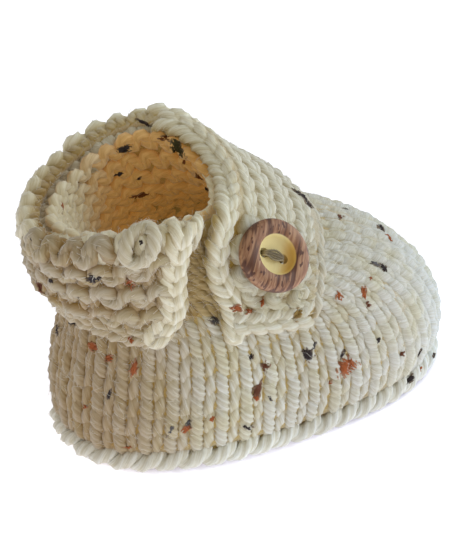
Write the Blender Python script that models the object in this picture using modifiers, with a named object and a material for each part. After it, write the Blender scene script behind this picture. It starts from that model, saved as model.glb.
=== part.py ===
"""Baby shoe: a hand-knitted bootie with a turned-down cuff that buttons across the instep.

+X points to the toe, +Y to the shoe's left, +Z up. The floor is z = 0. Tables are in millimetres.
"""
import math

import bmesh
import bpy
import numpy as np
from mathutils import Matrix, Vector

MM = 0.001                 # tables are in millimetres, the model in metres

# Sole
TOE_SPRING = 0.8           # how far the toe tip lifts off the floor
SPRING_FROM = 20.0         # x where the lift starts
SPRING_TO = 46.0           # x of the toe tip
SOLE_BACK, SOLE_FRONT = -46.0, 46.0
SOLE_MIDDLE = 6.0          # x of the widest place
SOLE_HALF_WIDTH = 26.4
SOLE_SQUARENESS = 2.38
SOLE_AROUND = 72
SOLE_RINGS = [             # z, how far the outline draws in
    (0.0, 2.6),
    (0.35, 1.5),
    (1.1, 0.5),
    (2.2, 0.0),
    (3.3, 0.3),
    (4.1, 1.1),
    (4.5, 2.0),
]

# Upper
WALL = 2.8                 # thickness of the knitted wall
UPPER_AROUND = 64
UPPER_UP = 17              # rings in the loft
RIM = 9.0                  # row of the table that is the collar's rim
# z_back, z_front, x_back, x_front, x_widest, half_width, y_middle, squareness, twist
UPPER_RINGS = [
    (4.8, 4.8, -45.5, 45.5, 6.0, 26.0, 0.0, 2.38, 0.0),
    (12.0, 11.5, -45.8, 46.3, 6.0, 27.2, 0.0, 2.38, 0.0),
    (20.0, 18.5, -44.8, 44.4, 5.0, 27.0, 0.0, 2.35, 0.0),
    (28.0, 26.0, -43.2, 39.5, 3.0, 26.0, 0.0, 2.30, 0.0),
    (34.0, 32.5, -42.0, 32.0, -1.0, 24.5, 0.0, 2.25, 0.0),
    (38.2, 38.3, -41.0, 22.0, -8.0, 22.8, 0.0, 2.15, 0.3),
    (41.5, 42.9, -40.9, 11.0, -16.0, 21.1, -0.4, 2.05, 1.2),
    (44.8, 47.8, -42.1, 1.0, -22.0, 19.8, -0.8, 2.0, 3.0),
    (48.1, 53.4, -44.6, -5.5, -25.5, 19.1, -1.3, 2.0, 5.1),
    (51.8, 59.4, -47.6, -9.5, -27.5, 18.9, -1.8, 2.0, 7.5),
]
TWIST_LEVEL = 0.15         # where along the shoe the twist of the rim is level

# Cuff: a strip along the rim, from its near end round the heel and over the instep to the flap's end.
# Rows above RIM bend over it: RIM + 1 is the top of the fold, RIM + 2 the inner face.
CUFF_THICK = 3.2
CUFF_GAP = 0.5             # clearance to the upper
SAG_START, SAG_LOW = 0.1, 1.4   # where the hanging part starts to stand off, and how low it does so most
FOLD_IN = RIM + 1.43       # where the folded edge ends, flush with the upper's inner face
CUFF_ALONG = 61
CUFF_CROWN = (1.0, 0.7, 0.46, 0.23)   # places of the points that round the fold
CUFF_HIP = 0.17            # share of the strip's width that rounds the fold
CUFF_DOWN = 10             # points down the turned-down part
CUFF_STATIONS = [          # turn_fold, row_fold, turn_edge, row_edge, hang
    (0.785, FOLD_IN, 0.630, 3.75, 1.0),
    (0.710, FOLD_IN, 0.590, 3.80, 1.8),
    (0.610, FOLD_IN, 0.545, 3.95, 3.6),
    (0.500, FOLD_IN, 0.480, 3.95, 5.0),
    (0.380, FOLD_IN, 0.375, 3.90, 4.8),
    (0.270, FOLD_IN, 0.280, 3.90, 2.8),
    (0.170, FOLD_IN, 0.190, 4.40, 2.6),
    (0.085, FOLD_IN, 0.100, 5.35, 2.8),
    (0.010, FOLD_IN, 0.010, 5.90, 2.8),
    (-0.060, FOLD_IN, -0.070, 5.90, 2.2),
    (-0.120, FOLD_IN, -0.133, 5.65, 1.8),
    (-0.165, 10.20, -0.170, 5.35, 1.4),
    (-0.198, 9.50, -0.195, 5.02, 1.2),
    (-0.226, 8.50, -0.214, 4.74, 1.0),
    (-0.255, 7.40, -0.231, 4.46, 0.8),
    (-0.286, 6.10, -0.243, 4.20, 0.6),
    (-0.313, 4.80, -0.250, 3.95, 0.4),
    (-0.328, 3.65, -0.257, 3.72, 0.3),
]

# Button
BUTTON_RADIUS = 7.6
BUTTON_THICK = 3.5
DISH_RADIUS = 4.1
DISH_DEPTH = 2.1
HOLE_RADIUS = 1.0
HOLE_APART = 4.4
BUTTON_TURN = 33.5         # degrees from the flap's length to the line through the holes
BUTTON_CENTRE = (-11.95, -26.2, 48.45)   # middle of the button's back
BUTTON_NORMAL = (0.06, -0.79, 0.61)
BUTTON_AROUND = 48

# Thread
THREAD_RADIUS = 0.62
THREAD_BELOW = 1.4         # how far the thread reaches below the button's back
THREAD_RISE = 0.35         # height of the strands over the dish

COLOURS = {                # red, green, blue, roughness
    "sole": (0.72, 0.67, 0.55, 0.95),
    "upper": (0.74, 0.69, 0.57, 0.95),
    "cuff": (0.76, 0.71, 0.59, 0.95),
    "button": (0.22, 0.09, 0.05, 0.55),
    "button_thread": (0.60, 0.52, 0.38, 0.9),
}


def collection(name, hidden=False):
    """Make a collection and link it to the scene."""
    made = bpy.data.collections.new(name)
    bpy.context.scene.collection.children.link(made)
    made.hide_render = hidden
    return made


def material(name):
    """A plain Principled material for one piece."""
    r, g, b, rough = COLOURS[name]
    made = bpy.data.materials.new(name)
    made.use_nodes = True
    shader = made.node_tree.nodes["Principled BSDF"]
    shader.inputs["Base Color"].default_value = (r, g, b, 1.0)
    shader.inputs["Roughness"].default_value = rough
    shader.inputs["Metallic"].default_value = 0.0
    return made


def solid(name, points, faces, home):
    """Turn points in millimetres and faces into an object with faces outward."""
    mesh = bpy.data.meshes.new(name)
    mesh.from_pydata((np.asarray(points).reshape(-1, 3) * MM).tolist(), [], faces)
    shape = bmesh.new()
    shape.from_mesh(mesh)
    bmesh.ops.recalc_face_normals(shape, faces=shape.faces)
    shape.to_mesh(mesh)
    shape.free()
    made = bpy.data.objects.new(name, mesh)
    home.objects.link(made)
    if name in COLOURS:
        mesh.materials.append(material(name))
    return made


def power(value, squareness):
    """Squared-off sine or cosine of an egg outline."""
    return np.sign(value) * np.abs(value) ** (2.0 / squareness)


def smooth(value):
    value = np.clip(value, 0.0, 1.0)
    return value * value * (3.0 - 2.0 * value)


def spring(x):
    """Lift of the toe at x."""
    return TOE_SPRING * smooth((x - SPRING_FROM) / (SPRING_TO - SPRING_FROM))


def between(table, row):
    """Read a table between its rows with a smooth cubic."""
    table = np.asarray(table, float)
    row = np.clip(np.asarray(row, float), 0.0, len(table) - 1.0)
    slope = np.gradient(table, axis=0)
    i = np.minimum(row.astype(int), len(table) - 2)
    f = (row - i)[..., None]
    a, b, sa, sb = table[i], table[i + 1], slope[i], slope[i + 1]
    return a + f * (sa + f * (3 * (b - a) - 2 * sa - sb + f * (2 * (a - b) + sa + sb)))


def wall(turn, row):
    """Outer face of the upper. Turn 0 is the toe, 0.25 the left side, 0.5 the heel."""
    turn, row = np.broadcast_arrays(np.asarray(turn, float), np.asarray(row, float))
    table = np.moveaxis(between(UPPER_RINGS, row), -1, 0)
    z_back, z_front, back, front, widest, half, middle, square, twist = table
    c = power(np.cos(2 * math.pi * turn), square)
    s = power(np.sin(2 * math.pi * turn), square)
    x = np.where(c > 0, widest + (front - widest) * c, widest + (widest - back) * c)
    along = np.clip((x - back) / (front - back), 0.0, 1.0)
    z = z_back + (z_front - z_back) * np.sin(math.pi * along / 2) + spring(x)
    z = z + twist * s * (along ** 2 - TWIST_LEVEL)
    return np.stack([x, middle + half * s, z], -1)


def unit(v):
    return v / np.linalg.norm(v, axis=-1, keepdims=True)


def wall_frame(turn, row, step=0.002):
    """Point on the outer face, with its outward direction and its upward direction."""
    low, high = np.maximum(row - step, 0.0), np.minimum(row + step, RIM)
    around = wall(turn + step, row) - wall(turn - step, row)
    upward = unit(wall(turn, high) - wall(turn, low))
    outward = unit(np.cross(around, upward))
    return wall(turn, row), outward, unit(np.cross(outward, unit(around)))


def over(turn, row, lift):
    """Point at a lift off the upper. Past RIM it rounds the rim's edge and runs in over its top."""
    turn, row, lift = np.broadcast_arrays(turn, row, lift)
    point, outward, upward = wall_frame(turn, np.minimum(row, RIM))
    bend = np.clip(row - RIM, 0.0, 1.0)[..., None] * math.pi / 2
    inward = np.clip(row - RIM - 1.0, 0.0, None)[..., None] * WALL
    return point + lift[..., None] * (outward * np.cos(bend) + upward * np.sin(bend)) - outward * inward


def make_sole(home):
    turn = 2 * math.pi * np.arange(SOLE_AROUND) / SOLE_AROUND
    c, s = power(np.cos(turn), SOLE_SQUARENESS), power(np.sin(turn), SOLE_SQUARENESS)
    rings = []
    for z, draw_in in SOLE_RINGS:
        reach = np.where(c > 0, SOLE_FRONT - SOLE_MIDDLE, SOLE_MIDDLE - SOLE_BACK) - draw_in
        x = SOLE_MIDDLE + reach * c
        rings.append(np.stack([x, (SOLE_HALF_WIDTH - draw_in) * s, z + spring(x)], -1))
    n, last = SOLE_AROUND, (len(SOLE_RINGS) - 1) * SOLE_AROUND
    faces = [(r * n + i, r * n + (i + 1) % n, (r + 1) * n + (i + 1) % n, (r + 1) * n + i)
             for r in range(len(SOLE_RINGS) - 1) for i in range(n)]
    for start in (0, last):
        faces += [(start, start + 1, start + n - 1), (start + n // 2 - 1, start + n // 2, start + n // 2 + 1)]
        faces += [(start + i, start + i + 1, start + n - i - 1, start + n - i) for i in range(1, n // 2 - 1)]
    return solid("sole", rings, faces, home)


def make_upper(home):
    n = UPPER_AROUND
    turn = np.arange(n) / n
    rings = [wall(turn, np.full(n, row)) for row in np.linspace(0.0, RIM, UPPER_UP)]
    faces = [(r * n + i, r * n + (i + 1) % n, (r + 1) * n + (i + 1) % n, (r + 1) * n + i)
             for r in range(UPPER_UP - 1) for i in range(n)]
    made = solid("upper", rings, faces, home)
    thick = made.modifiers.new("wall thickness", "SOLIDIFY")
    thick.thickness = WALL * MM
    thick.offset = -1.0
    thick.use_even_offset = False
    return made


def make_cuff(home):
    stations = between(CUFF_STATIONS, np.linspace(0, len(CUFF_STATIONS) - 1, CUFF_ALONG))
    turn_fold, row_fold, turn_edge, row_edge, hang = stations.T[:, :, None]
    row_fold = np.minimum(row_fold, FOLD_IN)
    crown = np.array(CUFF_CROWN)
    down = np.linspace(0.0, 1.0, CUFF_DOWN)
    across = np.concatenate([CUFF_HIP * (1 - crown), CUFF_HIP + (1 - CUFF_HIP) * down])
    hooked = np.concatenate([RIM + (row_fold - RIM) * crown, RIM + (row_edge - RIM) * down], 1)
    plain = row_fold + (row_edge - row_fold) * across
    row = plain + (hooked - plain) * smooth(row_fold - RIM)
    turn = turn_fold + (turn_edge - turn_fold) * across
    sag = np.sin(math.pi * (SAG_START + (1 - SAG_START) * down) ** SAG_LOW)
    sag = np.concatenate([sag[0] * (1 - crown), sag])
    lift = CUFF_GAP + hang * sag
    under = over(turn, row, lift)
    outer = over(turn, row, lift + CUFF_THICK)
    middle, half = (outer + under) / 2, (outer - under) / 2
    loops = []
    for k in range(CUFF_ALONG):
        loop = list(outer[k])
        for end, before in ((-1, -2), (0, 1)):
            away = unit(middle[k, end] - middle[k, before]) * CUFF_THICK / 2
            side = 1.0 if end == -1 else -1.0
            for angle in (45, 90, 135):
                a = math.radians(angle)
                loop.append(middle[k, end] + side * half[k, end] * math.cos(a) + away * math.sin(a))
            if end == -1:
                loop += list(under[k][::-1])
        loops.append(loop)
    loops = np.array(loops)
    m, n = loops.shape[1], row.shape[1]
    faces = [(k * m + i, k * m + (i + 1) % m, (k + 1) * m + (i + 1) % m, (k + 1) * m + i)
             for k in range(CUFF_ALONG - 1) for i in range(m)]
    for start in (0, (CUFF_ALONG - 1) * m):
        flip = 2 * n + 2                       # outer point i faces under point flip - i
        faces += [(start + i, start + i + 1, start + flip - i - 1, start + flip - i) for i in range(n - 1)]
        faces += [tuple(start + n - 1 + j for j in range(5))]
        faces += [tuple(start + (flip + j) % m for j in range(5))]
    return solid("cuff", loops, faces, home)


def button_place():
    """Frame on the flap: x along the holes, z out of the shoe."""
    out = Vector(BUTTON_NORMAL).normalized()
    side = Vector((1.0, 0.0, 0.0)) - out * out.x
    side.normalize()
    side = Matrix.Rotation(math.radians(-BUTTON_TURN), 3, out) @ side
    place = Matrix((side, out.cross(side), out)).transposed().to_4x4()
    place.translation = Vector(BUTTON_CENTRE) * MM
    return place


def make_button(home, tools):
    r, t, d, deep = BUTTON_RADIUS, BUTTON_THICK, DISH_RADIUS, DISH_DEPTH
    back = [(0.0, 0.0), (r - 1.3, 0.0), (r - 0.5, 0.25), (r - 0.08, 0.85), (r, 1.6)]
    front = [(r - 0.15, 2.4), (r - 0.6, 3.05), (r - 1.3, t - 0.1), (r - 2.1, t)]
    dish = [(d + 0.5, t - 0.15), (d, t - 0.6), (d - 0.35, t - 1.2), (d - 1.0, t - deep + 0.35),
            (d - 2.0, t - deep + 0.08), (0.0, t - deep)]
    profile = back + front + dish
    mesh = bpy.data.meshes.new("button")
    edges = [(i, i + 1) for i in range(len(profile) - 1)]
    mesh.from_pydata([(x * MM, 0.0, z * MM) for x, z in profile], edges, [])
    made = bpy.data.objects.new("button", mesh)
    home.objects.link(made)
    mesh.materials.append(material("button"))
    turned = made.modifiers.new("turned", "SCREW")
    turned.axis = "Z"
    turned.steps = turned.render_steps = BUTTON_AROUND
    turned.use_merge_vertices = True
    turned.merge_threshold = 0.00001
    turned.use_normal_calculate = True
    made.matrix_world = button_place()
    for sign in (-1, 1):
        bpy.ops.mesh.primitive_cylinder_add(vertices=24, radius=HOLE_RADIUS * MM, depth=3 * t * MM)
        drill = bpy.context.object
        drill.name = "drill"
        drill.matrix_world = button_place() @ Matrix.Translation((sign * HOLE_APART / 2 * MM, 0.0, 0.0))
        for home_now in list(drill.users_collection):
            home_now.objects.unlink(drill)
        tools.objects.link(drill)
        drill.hide_render = True
        drill.display_type = "WIRE"
        hole = made.modifiers.new("hole", "BOOLEAN")
        hole.operation = "DIFFERENCE"
        hole.solver = "EXACT"
        hole.object = drill
    return made


def make_thread(home):
    half = HOLE_APART / 2
    top = BUTTON_THICK - DISH_DEPTH + THREAD_RADIUS + THREAD_RISE
    line = [(-half, -THREAD_BELOW), (-half, top - 0.7), (-half + 0.2, top - 0.2), (-half + 0.7, top)]
    line += [(-x, z) for x, z in reversed(line)]
    curve = bpy.data.curves.new("thread line", "CURVE")
    curve.dimensions = "3D"
    curve.bevel_depth = THREAD_RADIUS * MM
    curve.bevel_resolution = 2
    curve.use_fill_caps = True
    path = curve.splines.new("POLY")
    path.points.add(len(line) - 1)
    for point, (x, z) in zip(path.points, line):
        point.co = (x * MM, 0.0, z * MM, 1.0)
    bent = bpy.data.objects.new("thread line", curve)
    home.objects.link(bent)
    mesh = bpy.data.meshes.new_from_object(bent.evaluated_get(bpy.context.evaluated_depsgraph_get()))
    bpy.data.objects.remove(bent, do_unlink=True)
    shape = bmesh.new()
    shape.from_mesh(mesh)
    bmesh.ops.remove_doubles(shape, verts=shape.verts, dist=0.00001)
    bmesh.ops.recalc_face_normals(shape, faces=shape.faces)
    shape.to_mesh(mesh)
    shape.free()
    made = bpy.data.objects.new("button_thread", mesh)
    home.objects.link(made)
    mesh.materials.clear()
    mesh.materials.append(material("button_thread"))
    made.matrix_world = button_place()
    return made


for old in list(bpy.data.objects):
    bpy.data.objects.remove(old, do_unlink=True)

shoe = collection("baby_shoe")
cutters = collection("cutters", hidden=True)
make_sole(shoe)
make_upper(shoe)
make_cuff(shoe)
make_button(shoe, cutters)
make_thread(shoe)
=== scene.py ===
# %% [markdown]
# # A hand-knitted baby bootie
# The real bootie is made of one thick, four-ply tweed yarn. A garter sole is knitted first, stitches are
# picked up round it for the upper, and the collar is turned down into a cuff that ends in a buttoned flap.
# Here the plain solids of the part are loaded as a fixed frame, and every knitted piece is built over them.
# A knitted texture could be painted on, but at this scale each strand catches its own light, so the stitches
# are real strands of twisted yarn.

# %% Load the solids
import math

import bpy
import numpy as np
from mathutils import Matrix, Vector
from mathutils.bvhtree import BVHTree


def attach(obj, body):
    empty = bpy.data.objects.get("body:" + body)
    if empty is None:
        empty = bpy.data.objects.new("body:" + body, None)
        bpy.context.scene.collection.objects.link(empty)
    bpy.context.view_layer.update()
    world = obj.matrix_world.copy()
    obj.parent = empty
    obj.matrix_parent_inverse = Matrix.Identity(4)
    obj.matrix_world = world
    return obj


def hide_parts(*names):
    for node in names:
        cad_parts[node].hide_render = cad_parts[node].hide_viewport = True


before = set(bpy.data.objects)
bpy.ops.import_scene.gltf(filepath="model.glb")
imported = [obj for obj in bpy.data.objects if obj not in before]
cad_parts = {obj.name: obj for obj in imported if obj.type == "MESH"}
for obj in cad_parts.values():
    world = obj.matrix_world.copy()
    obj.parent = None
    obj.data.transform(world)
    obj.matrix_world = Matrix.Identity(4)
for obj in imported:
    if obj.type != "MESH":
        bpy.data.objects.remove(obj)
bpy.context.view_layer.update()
MM = 0.001                      # shapes below are worked out in millimetres
chance = np.random.default_rng(11)
print("solids:", sorted(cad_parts))

# %% [markdown]
# ## The camera
# The shoe is seen from its near side, a little from behind and from above. A camera could be turned until it
# looks right, but here it is worked out: a direction, a distance, and how many pixels one millimetre takes.

# %% Place the camera
PHOTO_WIDTH, PHOTO_HEIGHT = 460, 540
VIEW_TURN, VIEW_RISE = math.radians(-33.5), math.radians(30.0)
VIEW_DISTANCE = 420.0
VIEW_TARGET = Vector((0.0, 0.0, 30.0))
PIXELS_PER_MM = 4.64
TARGET_PIXEL = (247.3, 266.5)   # where the target falls in the picture
SENSOR = 36.0

view_back = Vector((math.sin(VIEW_TURN) * math.cos(VIEW_RISE), -math.cos(VIEW_TURN) * math.cos(VIEW_RISE),
                    math.sin(VIEW_RISE)))
eye = VIEW_TARGET + view_back * VIEW_DISTANCE
bpy.ops.object.camera_add(location=eye * MM, rotation=view_back.to_track_quat("Z", "Y").to_euler())
camera = bpy.context.object
camera.data.sensor_width = SENSOR
camera.data.lens = SENSOR * PIXELS_PER_MM * VIEW_DISTANCE / PHOTO_HEIGHT
camera.data.shift_x = (PHOTO_WIDTH / 2 - TARGET_PIXEL[0]) / PHOTO_HEIGHT
camera.data.shift_y = (TARGET_PIXEL[1] - PHOTO_HEIGHT / 2) / PHOTO_HEIGHT
bpy.context.scene.camera = camera
print("lens", round(camera.data.lens, 1), "mm")

# %% [markdown]
# ## Materials as Python expressions
# A node material is a small network. Writing it link by link is long, so one class wraps a node's output
# and lets Python's own operators add the Math nodes.

# %% A wrapper for shader maths
class Wire:
    """One output socket; arithmetic on it adds Math nodes."""

    def __init__(self, paint, socket):
        self.paint, self.socket = paint, socket

    def maths(self, operation, first, second):
        return self.paint.node("ShaderNodeMath", {"operation": operation}, {0: first, 1: second})

    def __add__(self, other):
        return self.maths("ADD", self, other)

    def __sub__(self, other):
        return self.maths("SUBTRACT", self, other)

    def __rsub__(self, other):
        return self.maths("SUBTRACT", other, self)

    def __mul__(self, other):
        return self.maths("MULTIPLY", self, other)

    def __pow__(self, other):
        return self.maths("POWER", self, other)

    __radd__ = __add__
    __rmul__ = __mul__


print("sums of sockets ready")

# %% [markdown]
# A second class holds the material. One method of it adds any node from its type, settings and inputs, and
# the short methods after it name the few nodes that are used again and again.

# %% A material that takes nodes
ATTRIBUTE_VECTOR, ATTRIBUTE_VALUE, TEXTURE_OBJECT = 1, 2, 3   # outputs of nodes, by their number


class Paint:
    """A material with a Principled shader, and one method that adds any node."""

    def __init__(self, name):
        self.material = bpy.data.materials.new(name)
        self.material.use_nodes = True
        self.tree = self.material.node_tree
        self.shader = self.tree.nodes["Principled BSDF"]

    def plug(self, socket, value):
        if isinstance(value, Wire):
            self.tree.links.new(value.socket, socket)
        else:
            socket.default_value = value

    def node(self, kind, settings=None, inputs=None, output=0):
        made = self.tree.nodes.new(kind)
        for name, value in (settings or {}).items():
            setattr(made, name, value)
        for name, value in (inputs or {}).items():
            self.plug(made.inputs[name], value)
        return Wire(self, made.outputs[output])

    def noise(self, vector, scale, detail=2.0, rough=0.5):
        return self.node("ShaderNodeTexNoise", {}, {"Vector": vector, "Scale": scale, "Detail": detail,
                                                    "Roughness": rough})

    def ramp(self, value, low, high):
        """0 below low, 1 above high, smooth between."""
        settings = {"interpolation_type": "SMOOTHSTEP"}
        return self.node("ShaderNodeMapRange", settings, {"Value": value, "From Min": low, "From Max": high})

    def mix(self, amount, first, second, blend="MIX"):
        settings = {"data_type": "RGBA", "blend_type": blend}
        return self.node("ShaderNodeMix", settings, {0: amount, 6: first, 7: second}, 2)

    def place(self):
        """The object's own coordinates."""
        return self.node("ShaderNodeTexCoord", {}, {}, TEXTURE_OBJECT)

    def part(self, vector, axis):
        """One coordinate of a vector."""
        return self.node("ShaderNodeSeparateXYZ", {}, {0: vector}, axis)

    def attribute(self, name, output):
        return self.node("ShaderNodeAttribute", {"attribute_name": name}, {}, output)

    def finish(self, **sockets):
        for name, value in sockets.items():
            self.plug(self.shader.inputs[name.replace("_", " ")], value)
        return self.material


print("shader helpers ready")

# %% [markdown]
# ## Floor and light
# The shoe stands on a white table under soft light from the upper right. The table glows a little, as an
# overlit backdrop does. Close to the sole it sees less of the sky, so the glow is weaker there. That soft
# shade could be left to the lamp alone, but the glow would hide it, so it is painted in the sole's outline.

# %% Lay the floor
FLOOR_SIZE = 6.0
FLOOR_GLOW = 0.70
TABLE = ((0.93, 0.92, 0.97, 1.0), (0.97, 0.96, 0.99, 1.0))
TABLE_SHADED = (0.30, 0.30, 0.34, 1.0)
GLOW_CLEAR, GLOW_SHADED = (0.95, 0.97, 1.06, 1.0), (0.42, 0.41, 0.51, 1.0)
FOOTPRINT = ((0.0015, 0.0468), (-0.0009, 0.0264))   # middle and half size, along and across the shoe
FOOTPRINT_SQUARENESS = 2.38
SHADE_REACH = (0.80, 1.03)      # the shade fades between these shares of the footprint
SHADE_FROM = (-0.050, -0.036)   # along the heel it fades in
LAMP_SIDE = (0.0, 0.025)        # towards the lamp the table's colour takes the shade too

bpy.ops.object.select_all(action="DESELECT")
bpy.ops.mesh.primitive_plane_add(size=FLOOR_SIZE)
floor = bpy.context.object
floor.name = "floor"
floor_paint = Paint("white table")
on_floor = floor_paint.place()
lengthwise = floor_paint.part(on_floor, 0)
away = 0.0
for axis, (middle, half) in enumerate(FOOTPRINT):
    offset = (floor_paint.part(on_floor, axis) - middle) * (1 / half)
    offset = floor_paint.node("ShaderNodeMath", {"operation": "ABSOLUTE"}, {0: offset})
    away = away + offset ** FOOTPRINT_SQUARENESS
shade = (1.0 - floor_paint.ramp(away, *SHADE_REACH)) * floor_paint.ramp(lengthwise, *SHADE_FROM)
table = floor_paint.mix(floor_paint.noise(on_floor, 40.0) * 0.1, *TABLE)
table = floor_paint.mix(shade * floor_paint.ramp(lengthwise, *LAMP_SIDE), table, TABLE_SHADED)
floor_glow = floor_paint.mix(shade, GLOW_CLEAR, GLOW_SHADED)
floor.data.materials.append(floor_paint.finish(Base_Color=table, Emission_Color=floor_glow,
                                               Emission_Strength=FLOOR_GLOW, Roughness=0.8))
print("floor", FLOOR_SIZE, "m wide")

# %% [markdown]
# One broad lamp gives the light a side, and a warm white sky fills the rest. Several small lamps would give
# several shadows, which soft daylight doesn't have.

# %% Hang the lamp
LAMP_PLACE = Vector((1.12, -0.36, 0.52))
LAMP_SIZE, LAMP_WATTS = 1.6, 12.3
SKY_STRENGTH = 0.46

bpy.ops.object.light_add(type="AREA", location=LAMP_PLACE,
                         rotation=LAMP_PLACE.to_track_quat("Z", "Y").to_euler())
lamp = bpy.context.object
lamp.name = "key lamp"
lamp.data.size, lamp.data.energy = LAMP_SIZE, LAMP_WATTS
lamp.data.color = (0.85, 0.98, 1.06)
sky = bpy.data.worlds.new("white sky")
sky.use_nodes = True
background = sky.node_tree.nodes["Background"]
background.inputs["Color"].default_value = (0.96, 0.92, 0.83, 1.0)
background.inputs["Strength"].default_value = SKY_STRENGTH
bpy.context.scene.world = sky
bpy.context.scene.view_settings.view_transform = "Standard"
print("lamp of", LAMP_WATTS, "W")

# %% [markdown]
# ## The shape of the upper
# The upper is a loft of egg-shaped rings that lean and draw in towards the collar. The same table and the
# same formula made the solid, so strands that are placed with them lie on it.

# %% The upper's surface
TOE_SPRING, SPRING_FROM, SPRING_TO = 0.8, 20.0, 46.0
WALL = 2.8                      # thickness of the knitted wall
RIM = 9.0                       # row of the table that is the collar's rim
UPPER_RINGS = [  # z_back, z_front, x_back, x_front, x_widest, half_width, y_middle, squareness, twist
    (4.8, 4.8, -45.5, 45.5, 6.0, 26.0, 0.0, 2.38, 0.0),
    (12.0, 11.5, -45.8, 46.3, 6.0, 27.2, 0.0, 2.38, 0.0),
    (20.0, 18.5, -44.8, 44.4, 5.0, 27.0, 0.0, 2.35, 0.0),
    (28.0, 26.0, -43.2, 39.5, 3.0, 26.0, 0.0, 2.30, 0.0),
    (34.0, 32.5, -42.0, 32.0, -1.0, 24.5, 0.0, 2.25, 0.0),
    (38.2, 38.3, -41.0, 22.0, -8.0, 22.8, 0.0, 2.15, 0.3),
    (41.5, 42.9, -40.9, 11.0, -16.0, 21.1, -0.4, 2.05, 1.2),
    (44.8, 47.8, -42.1, 1.0, -22.0, 19.8, -0.8, 2.0, 3.0),
    (48.1, 53.4, -44.6, -5.5, -25.5, 19.1, -1.3, 2.0, 5.1),
    (51.8, 59.4, -47.6, -9.5, -27.5, 18.9, -1.8, 2.0, 7.5),
]
TWIST_LEVEL = 0.15
print(len(UPPER_RINGS), "rings in the loft")

# %% [markdown]
# A few small functions come first, because every later step uses them: a soft step, the same between two
# places, directions of length one, the distance along a line of points, and a table that can be read
# between its rows.

# %% Functions for shapes
def power(value, squareness):
    return np.sign(value) * np.abs(value) ** (2.0 / squareness)


def smooth(value):
    value = np.clip(value, 0.0, 1.0)
    return value * value * (3.0 - 2.0 * value)


def fade(value, start, end):
    """0 at the start, 1 at the end, smooth between."""
    return smooth((value - start) / (end - start))


def unit(v):
    return v / np.maximum(np.linalg.norm(v, axis=-1, keepdims=True), 1e-9)


def run_length(points):
    """Distance along lines of points, from the first point of each."""
    steps = np.linalg.norm(np.diff(points, axis=-2), axis=-1)
    return np.concatenate([np.zeros(steps.shape[:-1] + (1,)), np.cumsum(steps, -1)], -1)


def spring(x):
    return TOE_SPRING * fade(x, SPRING_FROM, SPRING_TO)


def between(table, row):
    """Read a table between its rows with a smooth cubic."""
    table = np.asarray(table, float)
    row = np.clip(np.asarray(row, float), 0.0, len(table) - 1.0)
    slope = np.gradient(table, axis=0)
    i = np.minimum(row.astype(int), len(table) - 2)
    f = (row - i)[..., None]
    a, b, sa, sb = table[i], table[i + 1], slope[i], slope[i + 1]
    return a + f * (sa + f * (3 * (b - a) - 2 * sa - sb + f * (2 * (a - b) + sa + sb)))


print("soft step halfway:", smooth(0.5))

# %% [markdown]
# With them the loft is one formula: a place round the shoe and a row of the table give a point on the outer
# face, and its directions follow from neighbouring points.

# %% The wall's formula
def wall(turn, row):
    """Outer face of the upper. Turn 0 is the toe, 0.25 the far side, 0.5 the heel, 0.75 the near side."""
    turn, row = np.broadcast_arrays(np.asarray(turn, float), np.asarray(row, float))
    table = np.moveaxis(between(UPPER_RINGS, row), -1, 0)
    z_back, z_front, back, front, widest, half, middle, square, twist = table
    c = power(np.cos(2 * math.pi * turn), square)
    s = power(np.sin(2 * math.pi * turn), square)
    x = np.where(c > 0, widest + (front - widest) * c, widest + (widest - back) * c)
    along = np.clip((x - back) / (front - back), 0.0, 1.0)
    z = z_back + (z_front - z_back) * np.sin(math.pi * along / 2) + spring(x)
    z = z + twist * s * (along ** 2 - TWIST_LEVEL)
    return np.stack([x, middle + half * s, z], -1)


def wall_frame(turn, row, step=0.002):
    """Point on the outer face, with its outward and its upward direction."""
    low, high = np.maximum(row - step, 0.0), np.minimum(row + step, RIM)
    around = wall(turn + step, row) - wall(turn - step, row)
    upward = unit(wall(turn, high) - wall(turn, low))
    outward = unit(np.cross(around, upward))
    return wall(turn, row), outward, unit(np.cross(outward, unit(around)))


print("rim of the collar:", wall(0.5, RIM).round(1), "to", wall(0.0, RIM).round(1))

# %% [markdown]
# ## Counting stitches
# A knitter counts columns round the shoe and rows up it. Both are measured along the surface, so that every
# stitch keeps the size that the yarn gives it. Two tables turn a column and a height into the loft's own
# coordinates.

# %% Columns and rows on the upper
COLUMNS = 44                    # stitches picked up round the sole
ROW = 4.4                       # height of one row
START_ROW = 0.5                 # the loft's row where the columns are spaced evenly
FINE_TURNS, FINE_ROWS, UP_STEP = 240, 361, 0.5

around = np.linspace(0.0, 1.0, 1441)
start_ring = wall(around, np.full(around.shape, START_ROW))
round_length = run_length(start_ring)
STITCH = round_length[-1] / COLUMNS
loft_rows = np.linspace(0.0, RIM, FINE_ROWS)
climbs = wall(np.arange(FINE_TURNS + 1)[:, None] / FINE_TURNS, loft_rows[None, :])
climbed = run_length(climbs)
heights = np.arange(0.0, climbed.max() + UP_STEP, UP_STEP)
row_at = np.array([np.interp(heights, line, loft_rows) for line in climbed])


def column_turn(column):
    whole = np.floor(column / COLUMNS)
    return whole + np.interp((column / COLUMNS - whole) * round_length[-1], round_length, around)


def row_of(turn, up):
    """The loft's row at a height along the surface."""
    t = np.mod(turn, 1.0) * FINE_TURNS
    i = np.minimum(t.astype(int), FINE_TURNS - 1)
    u = np.clip(up / UP_STEP, 0.0, len(heights) - 1.001)
    j = u.astype(int)
    f, g = t - i, u - j
    low = row_at[i, j] * (1 - g) + row_at[i, j + 1] * g
    high = row_at[i + 1, j] * (1 - g) + row_at[i + 1, j + 1] * g
    return low * (1 - f) + high * f


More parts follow.
